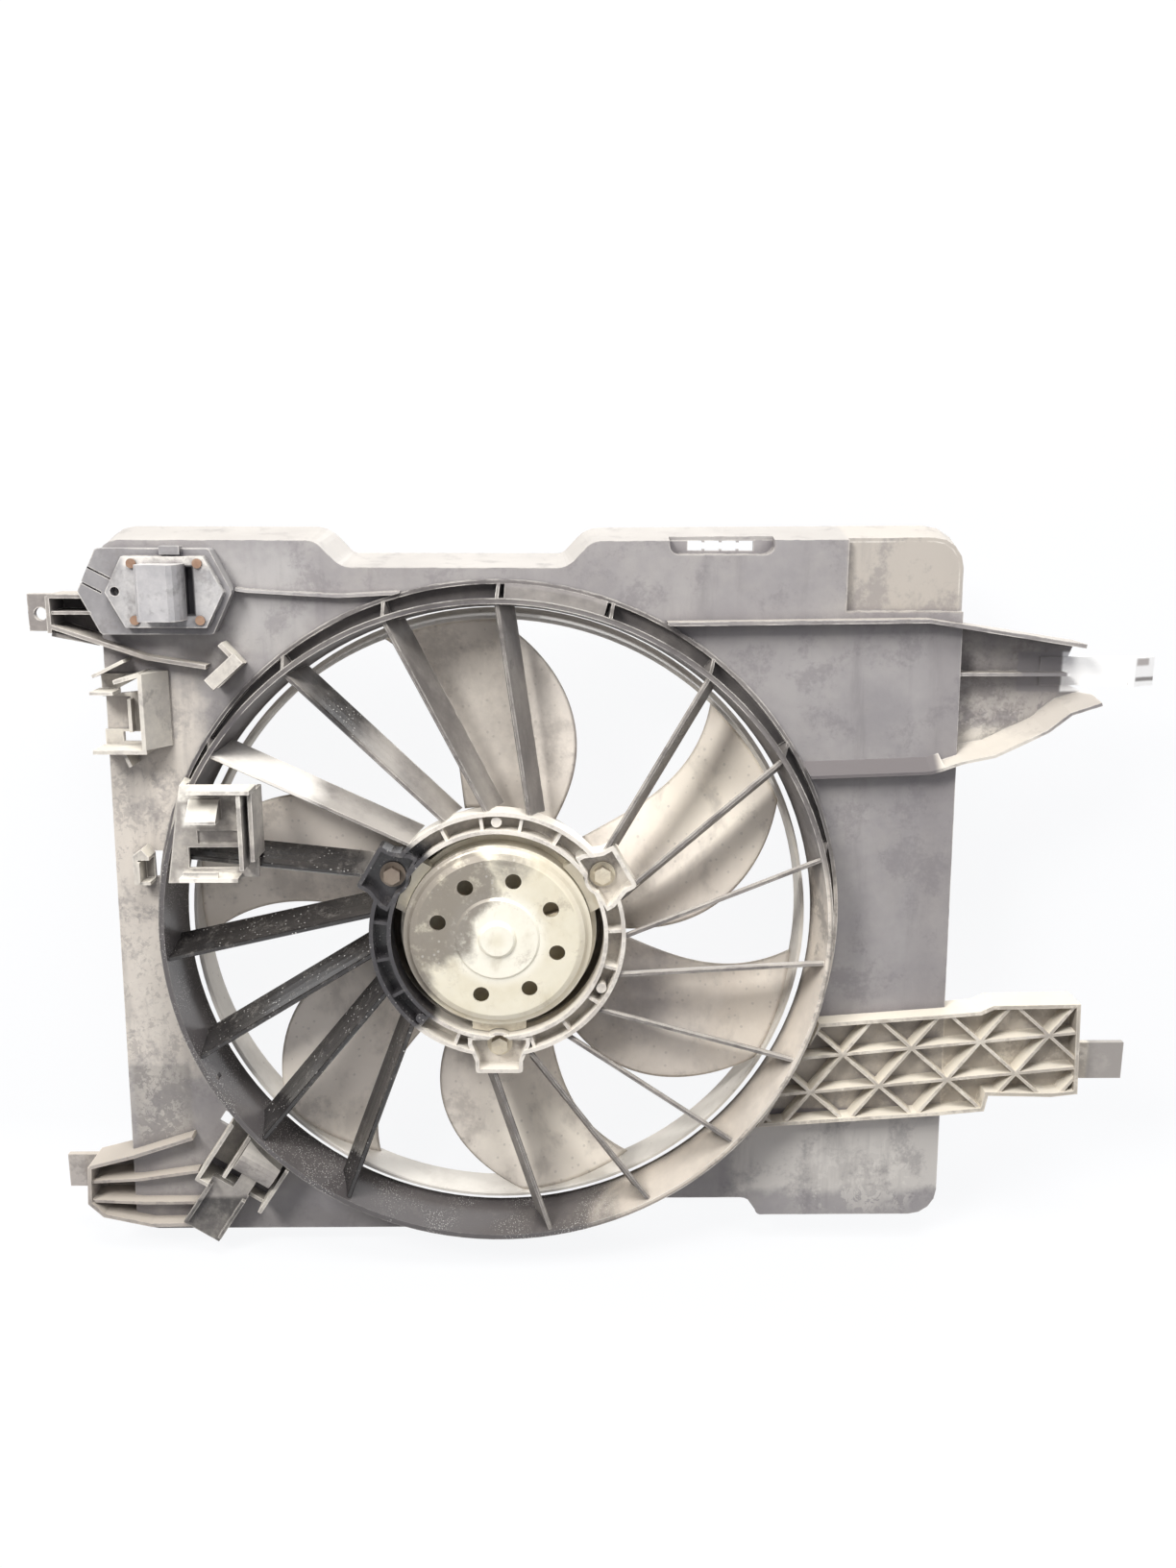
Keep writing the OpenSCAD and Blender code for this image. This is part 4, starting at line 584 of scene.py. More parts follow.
# Tunnel: pale dusty lip, dark trough of painted shade, oil thrown over the lower left of the bore
tunnelLook = {
    "base": (0.15, 0.138, 0.138), "cloud": (0.235, 0.216, 0.208), "roughness": 0.55,
    "dust": (0.42, 0.39, 0.355), "dustCover": 0.36, "dustScale": 14.0, "dustAmount": 0.6, "topBias": 0.10,
    "grime": (0.04, 0.035, 0.040), "grimeReach": 0.014, "grimeAmount": 0.8,
    "smudge": (0.09, 0.08, 0.078), "smudgeScale": 40.0,
    "zones": [
        area((-0.23, 0.02), (0.02, 0.24), (0.060, 0.053, 0.060), fade=0.04, ragged=0.03, amount=0.65),
        area((0.13, 0.25), (-0.17, 0.06), (0.92, 0.835, 0.73), fade=0.05, ragged=0.04, amount=0.85),
        area((0.03, 0.21), (-0.24, -0.11), (0.84, 0.75, 0.64), fade=0.04, ragged=0.04, amount=0.75),
    ],
    "edge": (0.95, 0.91, 0.84), "edgeAmount": 0.85, "edgeWidth": 0.0014, "edgeBreaks": 50.0,
    "rings": [
        # painted shade in the trough between the bore wall and the lip
        ringBand(0.2062, 0.2135, (0.11, 0.10, 0.092), amount=0.7, fade=0.0015),
    ],
    "oil": [((-0.115, 0, -0.175), 0.125, 0.03), ((-0.01, 0, -0.215), 0.10, 0.03),
            ((-0.20, 0, -0.07), 0.09, 0.03), ((-0.195, 0, 0.03), 0.05, 0.02)],
    "oilRing": (0.19, 0.2095), "oilColour": (0.085, 0.077, 0.078), "oilAmount": 0.88, "fleckShare": 0.9,
    "fleckScale": 820.0, "fleckAmount": 0.7,
}
dress(["fan_tunnel"], paint("tunnelPlastic", tunnelLook))

# Vanes and motor ring: black and wet on the left, grey-brown on the right
vaneLook = {
    "base": (0.17, 0.155, 0.148), "cloud": (0.27, 0.247, 0.23), "roughness": 0.5,
    "dust": (0.50, 0.465, 0.42), "dustCover": 0.34, "dustScale": 22.0, "dustAmount": 0.6, "topBias": 0.30,
    "grime": (0.04, 0.035, 0.038), "grimeReach": 0.008,
    "smudge": (0.09, 0.08, 0.078), "smudgeScale": 50.0, "smudgeAmount": 0.55,
    "edge": (0.92, 0.88, 0.80), "edgeAmount": 0.75, "edgeWidth": 0.0013,
    "over": [area((-0.195, -0.100), (0.070, 0.124), (0.93, 0.89, 0.83), fade=0.018, ragged=0.016, amount=0.85)],
    "oil": [((-0.15, 0, -0.035), 0.125, 0.03), ((-0.10, 0, -0.13), 0.10, 0.03), ((-0.02, 0, -0.21), 0.05, 0.02),
            ((-0.10, 0, 0.135), 0.042, 0.02)],
    "fleckScale": 480.0, "fleckAmount": 0.65, "oilRoughness": 0.24,
}
dress(["stator_vanes"], paint("vanePlastic", vaneLook))
ringLook = dict(
    vaneLook, base=(0.62, 0.575, 0.52), cloud=(0.80, 0.755, 0.69), dust=(0.92, 0.87, 0.78), dustCover=0.50,
    topBias=0.6, grimeReach=0.010, grimeAmount=0.25,
    smudge=(0.24, 0.215, 0.20), smudgeAmount=0.4, over=[],
    oil=[((-0.093, 0, 0.0), 0.080, 0.007)], oilFade=0.008, oilColour=(0.026, 0.024, 0.030), oilAmount=0.97,
    oilThin=0.85, edgeAmount=0.8, fleckAmount=0.4,
)
dress(["motor_ring"], paint("motorRingPlastic", ringLook))

# Arms and brackets: dusty mouldings with rubbed upper edges that carry a painted highlight
armLook = {
    "base": (0.225, 0.205, 0.197), "cloud": (0.33, 0.302, 0.283), "roughness": 0.64,
    "dust": (0.62, 0.57, 0.50), "dustScale": 20.0, "dustAmount": 0.7, "topBias": 0.6,
    "grime": (0.055, 0.047, 0.055), "grimeReach": 0.014, "grimeAmount": 0.75,
    "smudge": (0.14, 0.125, 0.125), "smudgeScale": 42.0, "smudgeAmount": 0.45,
    "edge": (0.94, 0.90, 0.83), "edgeAmount": 0.85, "edgeWidth": 0.0014, "edgeBreaks": 60.0,
}
dress(["arm_upper_left"], paint("armPlastic", armLook))
lowerLeftLook = dict(
    armLook, base=(0.33, 0.30, 0.28), cloud=(0.45, 0.41, 0.375), dust=(0.60, 0.54, 0.465), dustCover=0.42,
    edge=(0.70, 0.635, 0.56), edgeAmount=0.65,
    grime=(0.10, 0.086, 0.086), grimeReach=0.012, grimeAmount=0.5,
    zones=[
        area((-0.28, -0.20), (-0.215, -0.155), (0.40, 0.355, 0.315), fade=0.02, ragged=0.02, amount=0.5),
        area((-0.33, -0.283), (-0.20, -0.15), (0.52, 0.485, 0.46), fade=0.002, ragged=0.001, amount=0.6),
    ],
)
dress(["arm_lower_left"], paint("lowerLeftArmPlastic", lowerLeftLook))
upperRightLook = dict(
    armLook, base=(0.235, 0.22, 0.222), cloud=(0.31, 0.29, 0.285), dustCover=0.36, dustAmount=0.6,
    zones=[
        area((0.27, 0.37), (0.10, 0.156), (0.52, 0.485, 0.45), flakes=0.6, scale=110.0, fade=0.02, ragged=0.02,
             amount=0.55),
        area((0.09, 0.34), (0.085, 0.128), (0.84, 0.79, 0.70), fade=0.010, ragged=0.01, amount=0.65),
    ],
    over=[
        # painted shadow under the upper flange, on the parts nearer the panel
        area((0.08, 0.278), (0.08, 0.118), (0.115, 0.103, 0.110), fade=0.006, ragged=0.002, amount=0.92,
             deeperThan=-0.0500),
        area((0.325, 0.3555), (0.146, 0.173), (0.25, 0.235, 0.24), fade=0.002, ragged=0.001, amount=0.85),
        # painted highlight: the finger's tip made near-white as if blown out by light
        area((0.353, 0.43), (0.146, 0.173), (1.0, 1.0, 0.99), fade=0.002, ragged=0.001, amount=1.0),
        area((0.398, 0.409), (0.163, 0.1695), (0.42, 0.385, 0.37), fade=0.002, ragged=0.001, amount=0.9),
        area((0.398, 0.414), (0.1535, 0.1575), (0.20, 0.185, 0.18), fade=0.0015, ragged=0.001, amount=0.9),
    ],
)
dress(["arm_upper_right"], paint("upperRightArmPlastic", upperRightLook))
latticeLook = dict(
    armLook, base=(0.62, 0.565, 0.49), cloud=(0.80, 0.74, 0.65), dust=(0.88, 0.82, 0.70), dustCover=0.48,
    edge=(0.86, 0.80, 0.69), edgeWidth=0.0018, edgeAmount=0.7, topBias=0.8,
    grime=(0.19, 0.165, 0.152), grimeReach=0.012, grimeAmount=0.32, smudge=(0.30, 0.262, 0.22),
    smudgeAmount=0.6, smudgeScale=30.0, smudgeCover=0.54,
    zones=[
        area((0.340, 0.39), (-0.15, -0.06), (0.50, 0.47, 0.445), fade=0.012, ragged=0.02, amount=0.65),
        area((0.20, 0.39), (-0.15, -0.06), (0.90, 0.82, 0.64), flakes=0.40, scale=50.0, fade=0.01, amount=0.3),
    ],
    over=[area((0.388, 0.43), (-0.13, -0.07), (0.33, 0.31, 0.30), fade=0.003, ragged=0.001, amount=0.8)],
)
dress(["arm_lower_right"], paint("latticePlastic", latticeLook))
bracketLook = dict(
    armLook, base=(0.36, 0.335, 0.318), cloud=(0.52, 0.49, 0.46), dust=(0.90, 0.85, 0.74), dustCover=0.48,
    grimeAmount=0.7, smudge=(0.20, 0.182, 0.178),
)
dress(["relay_bracket", "lead_hook", "lead_clip"], paint("bracketPlastic", bracketLook))
leadLook = dict(
    bracketLook, base=(0.28, 0.258, 0.245), cloud=(0.41, 0.38, 0.355),
    zones=[
        area((-0.192, -0.145), (0.0860, 0.100), (0.97, 0.935, 0.86), fade=0.003, ragged=0.003, amount=0.85),
        area((-0.190, -0.168), (0.0700, 0.0860), (0.98, 0.95, 0.89), fade=0.003, ragged=0.003, amount=0.75),
        area((-0.196, -0.156), (0.0350, 0.0460), (0.97, 0.93, 0.86), fade=0.003, ragged=0.003, amount=0.85),
    ],
)
dress(["lead_bracket", "plug_holder"], paint("leadBracketPlastic", leadLook))
plugLook = dict(
    armLook, base=(0.30, 0.278, 0.262), cloud=(0.42, 0.39, 0.362), dust=(0.70, 0.66, 0.59), roughness=0.5,
    edgeAmount=0.5,
    zones=[area((-0.26, -0.16), (-0.26, -0.187), (0.045, 0.042, 0.042), fade=0.004, ragged=0.003, amount=0.93)],
)
dress(["motor_plug"], paint("plugPlastic", plugLook))

# Resistor unit
carrierLook = dict(
    bracketLook, base=(0.22, 0.212, 0.220), cloud=(0.31, 0.30, 0.304), dust=(0.56, 0.54, 0.525), dustCover=0.36,
    dustAmount=0.5,
    grime=(0.05, 0.043, 0.055), grimeReach=0.010, grimeAmount=0.9, grimeLow=0.22, grimeHigh=0.6,
)
dress(["resistor_carrier"], paint("carrierPlastic", carrierLook))
plateLook = dict(
    armLook, base=(0.33, 0.325, 0.335), cloud=(0.46, 0.452, 0.455), dust=(0.80, 0.775, 0.74), dustCover=0.42,
    roughness=0.5,
    zones=[
        area((-0.252, -0.218), (0.185, 0.238), (0.21, 0.20, 0.205), fade=0.008, ragged=0.008, amount=0.5),
        area((-0.222, -0.165), (0.222, 0.24), (0.88, 0.84, 0.78), fade=0.004, ragged=0.008, amount=0.7),
    ],
    # painted shade filling the blind slot
    over=[area((-0.1838, -0.1772), (0.1955, 0.2265), (0.022, 0.020, 0.024), fade=0.001, ragged=0.0,
               amount=0.96)],
    grime=(0.05, 0.043, 0.055), grimeReach=0.010, grimeAmount=0.9, grimeLow=0.22, grimeHigh=0.6,
)
dress(["resistor_plate"], paint("resistorPlate", plateLook))
socketLook = dict(
    armLook, base=(0.36, 0.352, 0.365), cloud=(0.50, 0.49, 0.495), dust=(0.74, 0.72, 0.70), dustCover=0.40,
    roughness=0.42,
)
dress(["resistor_socket"], paint("socketPlastic", socketLook))
rivetLook = {
    "base": (0.24, 0.14, 0.095), "cloud": (0.42, 0.27, 0.185), "roughness": 0.45, "metallic": 0.4,
    "dust": (0.44, 0.36, 0.29), "dustCover": 0.34, "dustScale": 160.0, "edge": (0.46, 0.30, 0.21),
    "edgeWidth": 0.0006, "grainScale": 1800.0,
}
dress(["resistor_rivets"], paint("rivetCopper", rivetLook))
coilLook = dict(
    rivetLook, base=(0.27, 0.25, 0.235), cloud=(0.36, 0.335, 0.31), metallic=0.0, roughness=0.7,
    edge=(0.55, 0.5, 0.45),
)
dress(["resistor_coil"], paint("coilCeramic", coilLook))

# Motor: yellow-passivated steel, grease on the upper left of the cap
capLook = {
    "base": (0.78, 0.715, 0.55), "cloud": (0.86, 0.805, 0.655), "roughness": 0.40, "metallic": 0.3,
    "specular": 0.5,
    "dust": (0.82, 0.78, 0.66), "dustCover": 0.42, "dustScale": 30.0, "dustAmount": 0.6, "topBias": 0.1,
    "edge": (0.88, 0.84, 0.74), "edgeAmount": 0.6, "edgeWidth": 0.0010, "grainScale": 1500.0, "bump": 0.2,
    "streak": (0.50, 0.42, 0.27), "streakAmount": 0.35, "stretch": (70, 70, 40),
    "rings": [
        # a painted highlight over the middle of the face, and painted shade with brownish dirt on the shoulder
        ringBand(0.0, 0.034, (1.0, 0.97, 0.86), amount=0.75, fade=0.008),
        ringBand(0.0495, 0.060, (0.52, 0.45, 0.35), amount=0.4, fade=0.003),
    ],
    "smudge": (0.34, 0.275, 0.205), "smudgeScale": 46.0, "smudgeCover": 0.40, "smudgeAmount": 0.4,
    "oil": [((-0.048, 0, 0.006), 0.038, 0.018), ((-0.054, 0, -0.028), 0.026, 0.014),
            ((-0.026, 0, 0.038), 0.034, 0.018), ((0.008, 0, 0.050), 0.024, 0.014)],
    "oilColour": (0.205, 0.178, 0.15), "oilAmount": 0.88, "oilThin": 0.4, "oilFade": 0.010,
    "oilRoughness": 0.42, "fleckAmount": 0.3,
}
dress(["motor_end_cap"], paint("endCapSteel", capLook))
canLook = dict(
    capLook, rings=[], base=(0.42, 0.37, 0.28), cloud=(0.52, 0.465, 0.36),
    oil=[((-0.06, 0, -0.03), 0.06, 0.02)],
)
dress(["motor_can"], paint("motorCanSteel", canLook))
flangeLook = dict(
    capLook, rings=[], base=(0.60, 0.54, 0.42), cloud=(0.70, 0.64, 0.52), oil=[((-0.05, 0, -0.01), 0.04, 0.02)],
)
dress(["motor_flange"], paint("flangeSteel", flangeLook))
boltLook = dict(
    rivetLook, base=(0.62, 0.55, 0.42), cloud=(0.78, 0.72, 0.58), metallic=0.3, edge=(0.92, 0.87, 0.76),
    dust=(0.40, 0.34, 0.27), dustCover=0.40,
    over=[area((-0.09, -0.05), (0.02, 0.06), (0.13, 0.085, 0.07), fade=0.004, amount=0.75)],
)
dress(["motor_bolts", "motor_nuts"], paint("boltSteel", boltLook))
steelLook = dict(
    rivetLook, base=(0.50, 0.50, 0.51), cloud=(0.60, 0.60, 0.61), metallic=0.9, roughness=0.3,
    dust=(0.25, 0.24, 0.22), edge=(0.72, 0.72, 0.72),
)
dress(["motor_shaft", "brush_springs", "fan_clip"], paint("groundSteel", steelLook))
terminalLook = dict(steelLook, base=(0.62, 0.59, 0.50), cloud=(0.70, 0.67, 0.58), roughness=0.36)
dress(["resistor_terminals"], paint("terminalTin", terminalLook))
coreLook = dict(steelLook, base=(0.30, 0.30, 0.31), cloud=(0.38, 0.38, 0.39), roughness=0.5)
dress(["armature_core"], paint("coreSteel", coreLook))
windingLook = dict(rivetLook, base=(0.52, 0.22, 0.10), cloud=(0.62, 0.30, 0.15), metallic=0.6, roughness=0.35)
dress(["armature_windings"], paint("windingEnamel", windingLook))
commutatorLook = dict(
    rivetLook, base=(0.62, 0.36, 0.22), cloud=(0.70, 0.44, 0.29), metallic=0.85, roughness=0.3,
)
dress(["commutator"], paint("commutatorCopper", commutatorLook))
magnetLook = dict(
    coilLook, base=(0.06, 0.06, 0.065), cloud=(0.09, 0.09, 0.095), roughness=0.6, edge=(0.2, 0.2, 0.2),
)
dress(["motor_magnets"], paint("magnetFerrite", magnetLook))
carbonLook = dict(magnetLook, base=(0.035, 0.035, 0.037), cloud=(0.06, 0.06, 0.062))
dress(["brushes"], paint("brushCarbon", carbonLook))
boardLook = dict(
    coilLook, base=(0.78, 0.69, 0.50), cloud=(0.88, 0.80, 0.62), roughness=0.55, edge=(0.9, 0.84, 0.68),
)
dress(["brush_plate"], paint("brushBoard", boardLook))
bronzeLook = dict(rivetLook, base=(0.42, 0.33, 0.18), cloud=(0.50, 0.40, 0.23), metallic=0.8, roughness=0.5)
dress(["front_bearing", "rear_bearing"], paint("bearingBronze", bronzeLook))
print("CAD nodes dressed")

# Fan: grey-brown, mottled, paler towards the tips; cream band
bladeLook = {
    "base": (0.68, 0.62, 0.555), "cloud": (0.84, 0.77, 0.69), "roughness": 0.56,
    "smudge": (0.36, 0.322, 0.288), "smudgeScale": 20.0, "smudgeCover": 0.42, "smudgeAmount": 0.45,
    "dust": (0.93, 0.86, 0.76), "dustCover": 0.42, "dustScale": 16.0, "dustAmount": 0.65, "topBias": 0.1,
    "streak": (0.40, 0.36, 0.32), "stretch": (34, 34, 22), "streakLow": 0.5,
    "streakHigh": 0.68,
    "edge": (0.80, 0.75, 0.66), "edgeAmount": 0.5, "edgeWidth": 0.001,
    "rings": [
        ringBand(0.150, 0.210, (0.86, 0.79, 0.69), amount=0.5, fade=0.03),
        ringBand(0.060, 0.100, (0.26, 0.235, 0.21), amount=0.5, fade=0.02),
    ],
    "zones": [
        area((0.07, 0.195), (0.02, 0.15), (1.0, 0.92, 0.79), fade=0.045, ragged=0.05, amount=0.85),
        area((-0.035, 0.10), (-0.20, -0.09), (1.0, 0.93, 0.81), fade=0.045, ragged=0.05, amount=0.85),
        area((-0.18, -0.05), (-0.18, -0.03), (1.0, 0.92, 0.82), fade=0.04, ragged=0.04, amount=0.75),
        area((-0.20, -0.07), (-0.03, 0.10), (1.0, 0.91, 0.81), fade=0.04, ragged=0.04, amount=0.65),
        area((-0.09, 0.06), (0.07, 0.21), (0.42, 0.39, 0.355), fade=0.04, ragged=0.05, amount=0.55),
        area((0.05, 0.125), (-0.09, 0.0), (0.27, 0.25, 0.27), fade=0.03, ragged=0.05, amount=0.6),
        area((0.12, 0.20), (-0.12, 0.0), (0.62, 0.525, 0.43), fade=0.04, ragged=0.06, amount=0.5),
        area((-0.05, 0.03), (-0.09, -0.05), (0.28, 0.26, 0.275), fade=0.03, ragged=0.04, amount=0.55),
    ],
    "flecks": 0.2, "fleckScale": 260.0, "fleckAmount": 0.22, "fleckColour": (0.16, 0.145, 0.13),
}
bladePlastic = paint("bladePlastic", bladeLook)
hubLook = dict(
    bladeLook, base=(0.26, 0.236, 0.21), cloud=(0.36, 0.33, 0.29), dust=(0.5, 0.455, 0.39), smudgeAmount=0.3,
    rings=[], zones=[],
)
dress(["fan_hub"], paint("hubPlastic", hubLook))
bandLook = dict(
    bladeLook, base=(0.60, 0.565, 0.51), cloud=(0.70, 0.665, 0.61), dust=(0.80, 0.77, 0.71), rings=[], zones=[],
    streakAmount=0.25, smudge=(0.42, 0.38, 0.33), flecks=0.1, edge=(0.95, 0.92, 0.87),
)
dress(["fan_band"], paint("bandPlastic", bandLook))

# Blades: one swept, cambered blade made by rule and set at six uneven seats
bladeSettings = {
    "Root Radius": 72.09 * mm, "Tip Radius": 193.1 * mm,
    "Lead Root": 109.0, "Lead Middle": 104.5, "Lead Tip": 112.0,
    "Trail Root": 62.0, "Trail Middle": 68.5, "Trail Tip": 90.0,
    "Trail Depth Root": 38.0 * mm, "Trail Depth Tip": 34.5 * mm,
    "Lead Depth Root": 13.5 * mm, "Lead Depth Tip": 17.0 * mm,
    "Thickness": 3.4 * mm, "Edge Thickness": 0.7 * mm, "Camber": 3.5 * mm,
}
bladeSection = {"tipThinning": 0.3, "skew": 0.8, "fullness": 0.6}
bladeSeats = (0, 66, 120, 176, 228, 287)  # degrees, as they stand in the hub
bladeRows = 44
bladeColumns = 61
weldDistance = 0.004 * mm


def bladeTree():
    tree = bpy.data.node_groups.new("sweptBlades", "GeometryNodeTree")
    tree.interface.new_socket(name="Geometry", in_out="INPUT", socket_type="NodeSocketGeometry")
    for label, value in bladeSettings.items():
        tree.interface.new_socket(name=label, in_out="INPUT",
                                  socket_type="NodeSocketFloat").default_value = value
    tree.interface.new_socket(name="Material", in_out="INPUT", socket_type="NodeSocketMaterial")
    tree.interface.new_socket(name="Geometry", in_out="OUTPUT", socket_type="NodeSocketGeometry")
    given = tree.nodes.new("NodeGroupInput").outputs
    wanted = tree.nodes.new("NodeGroupOutput").inputs

    def m(operation, *values):
        return calc(tree, operation, *values)

    grid = tree.nodes.new("GeometryNodeMeshGrid")
    grid.inputs["Size X"].default_value = 1
    grid.inputs["Size Y"].default_value = 1
    grid.inputs["Vertices X"].default_value = bladeRows
    grid.inputs["Vertices Y"].default_value = bladeColumns
    spot = split(tree, tree.nodes.new("GeometryNodeInputPosition").outputs[0])
    row = m("ROUND", m("MULTIPLY", m("ADD", spot[0], 0.5), bladeRows - 1.0))
    column = m("ROUND", m("MULTIPLY", m("ADD", spot[1], 0.5), bladeColumns - 1.0))
    # the first and last rows close the ends, so they repeat the radius of their neighbours with no thickness
    along = m("MINIMUM", m("MAXIMUM", m("DIVIDE", m("SUBTRACT", row, 1.0), bladeRows - 3.0), 0.0), 1.0)
    full = m("MULTIPLY", m("GREATER_THAN", row, 0.5), m("LESS_THAN", row, bladeRows - 1.5))
    around = m("DIVIDE", column, bladeColumns - 1.0)
    chord = m("SUBTRACT", 1.0, m("ABSOLUTE", m("SUBTRACT", m("MULTIPLY", around, 2.0), 1.0)))
    side = m("SIGN", m("SUBTRACT", 0.5, around))
    inside = m("MULTIPLY", m("GREATER_THAN", chord, 0.001), m("LESS_THAN", chord, 0.999))

    def through(first, middle, last):
        # the parabola through three values, at the root, the middle and the tip
        rest = m("SUBTRACT", 1.0, along)
        a = m("MULTIPLY", given[first], m("MULTIPLY", rest, m("SUBTRACT", 1.0, m("MULTIPLY", along, 2.0))))
        b = m("MULTIPLY", given[middle], m("MULTIPLY", m("MULTIPLY", along, rest), 4.0))
        c = m("MULTIPLY", given[last], m("MULTIPLY", along, m("SUBTRACT", m("MULTIPLY", along, 2.0), 1.0)))
        return m("ADD", a, m("ADD", b, c))

    def mixed(first, last, share):
        return m("ADD", m("MULTIPLY", first, m("SUBTRACT", 1.0, share)), m("MULTIPLY", last, share))

    radius = mixed(given["Root Radius"], given["Tip Radius"], along)
    trailAngle = through("Trail Root", "Trail Middle", "Trail Tip")
    leadAngle = through("Lead Root", "Lead Middle", "Lead Tip")
    angle = m("RADIANS", mixed(trailAngle, leadAngle, chord))
    trailDepth = mixed(given["Trail Depth Root"], given["Trail Depth Tip"], along)
    leadDepth = mixed(given["Lead Depth Root"], given["Lead Depth Tip"], along)
    bow = m("MULTIPLY", given["Camber"], m("MULTIPLY", m("MULTIPLY", chord, m("SUBTRACT", 1.0, chord)), 4.0))
    thinned = m("SUBTRACT", 1.0, m("MULTIPLY", along, bladeSection["tipThinning"]))
    skin = m("MULTIPLY", given["Thickness"], thinned)
    skewed = m("POWER", chord, bladeSection["skew"])
    hump = m("POWER", m("SINE", m("MULTIPLY", skewed, math.pi)), bladeSection["fullness"])
    thick = m("ADD", given["Edge Thickness"], m("MULTIPLY", m("SUBTRACT", skin, given["Edge Thickness"]), hump))
    half = m("MULTIPLY", m("MULTIPLY", m("MULTIPLY", thick, 0.5), side), m("MULTIPLY", full, inside))
    depth = m("ADD", m("ADD", mixed(trailDepth, leadDepth, chord), bow), half)

    joined = tree.nodes.new("ShaderNodeCombineXYZ")
    put(tree, m("MULTIPLY", radius, m("COSINE", angle)), joined.inputs[0])
    put(tree, m("MULTIPLY", depth, -1.0), joined.inputs[1])
    put(tree, m("MULTIPLY", radius, m("SINE", angle)), joined.inputs[2])
    shape = tree.nodes.new("GeometryNodeSetPosition")
    put(tree, grid.outputs["Mesh"], shape.inputs["Geometry"])
    put(tree, joined.outputs[0], shape.inputs["Position"])
    closed = tree.nodes.new("GeometryNodeMergeByDistance")
    put(tree, shape.outputs["Geometry"], closed.inputs["Geometry"])
    closed.inputs["Distance"].default_value = weldDistance
    smooth = tree.nodes.new("GeometryNodeSetShadeSmooth")
    put(tree, closed.outputs["Geometry"], smooth.inputs["Geometry"])

    turn = tree.nodes.new("GeometryNodeInputNamedAttribute")
    turn.data_type = "FLOAT"
    turn.inputs["Name"].default_value = "turn"
    spin = tree.nodes.new("ShaderNodeCombineXYZ")
    put(tree, m("RADIANS", turn.outputs["Attribute"]), spin.inputs[1])
    seats = tree.nodes.new("GeometryNodeInstanceOnPoints")
    put(tree, given["Geometry"], seats.inputs["Points"])
    put(tree, smooth.outputs["Geometry"], seats.inputs["Instance"])
    put(tree, spin.outputs[0], seats.inputs["Rotation"])
    real = tree.nodes.new("GeometryNodeRealizeInstances")
    put(tree, seats.outputs["Instances"], real.inputs["Geometry"])
    finish = tree.nodes.new("GeometryNodeSetMaterial")
    put(tree, real.outputs["Geometry"], finish.inputs["Geometry"])
    put(tree, given["Material"], finish.inputs["Material"])
    put(tree, finish.outputs["Geometry"], wanted["Geometry"])
    return tree


def grow(name, seedMesh, tree, values, material):
    # evaluates a tree on a seed mesh and keeps the result as a plain mesh
    seed = bpy.data.objects.new(name + "Seed", seedMesh)
    bpy.context.scene.collection.objects.link(seed)
    modifier = seed.modifiers.new("rule", "NODES")
    modifier.node_group = tree
    for item in tree.interface.items_tree:
        if item.item_type == "SOCKET" and item.in_out == "INPUT" and item.name in values:
            modifier[item.identifier] = values[item.name]
        if item.item_type == "SOCKET" and item.in_out == "INPUT" and item.name == "Material":
            modifier[item.identifier] = material
    evaluated = seed.evaluated_get(bpy.context.evaluated_depsgraph_get())
    mesh = bpy.data.meshes.new_from_object(evaluated)
    seed.modifiers.remove(modifier)
    bpy.data.objects.remove(seed)
    piece = bpy.data.objects.new(name, mesh)
    mesh.name = name
    bpy.context.scene.collection.objects.link(piece)
    return piece


def seatMesh(name, turns):
    mesh = bpy.data.meshes.new(name)
    mesh.from_pydata([(0, 0, 0)] * len(turns), [], [])
    attribute = mesh.attributes.new("turn", "FLOAT", "POINT")
    attribute.data.foreach_set("value", [float(t) for t in turns])
    return mesh


def outward(piece):
    # recalculates the normals of a finished closed mesh
    bpy.ops.object.select_all(action="DESELECT")
    bpy.context.view_layer.objects.active = piece
    piece.select_set(True)
    bpy.ops.object.mode_set(mode="EDIT")
    bpy.ops.mesh.select_all(action="SELECT")
    bpy.ops.mesh.normals_make_consistent(inside=False)
    bpy.ops.object.mode_set(mode="OBJECT")


blades = grow("sweptBlades", seatMesh("bladeSeats", bladeSeats), bladeTree(), bladeSettings, bladePlastic)
outward(blades)
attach(blades, "rotor")
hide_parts("fan_blades")
print("blades built:", len(blades.data.polygons), "faces")

# Stage: a white sheet that curves up behind the fan, seen through from its back
stageSettings = {
    "floor": cadLow[2] - 0.0005, "back": 0.055, "curve": 0.05, "front": -3.2, "top": 3.0, "halfWidth": 4.0,
    "share": 0.92, "shine": 1.0, "glow": (0.985, 0.99, 1.0), "seen": (0.95, 0.95, 0.97),
    "bounce": (0.32, 0.32, 0.33),
    "roughness": 0.9, "curveSteps": 12,
}


def seenRays(tree, path):
    # rays that should find the plain white background: straight, mirrored or through glass
    mirrored = calc(tree, "MAXIMUM", path["Is Glossy Ray"], path["Is Transmission Ray"])
    return calc(tree, "MAXIMUM", path["Is Camera Ray"], mirrored)


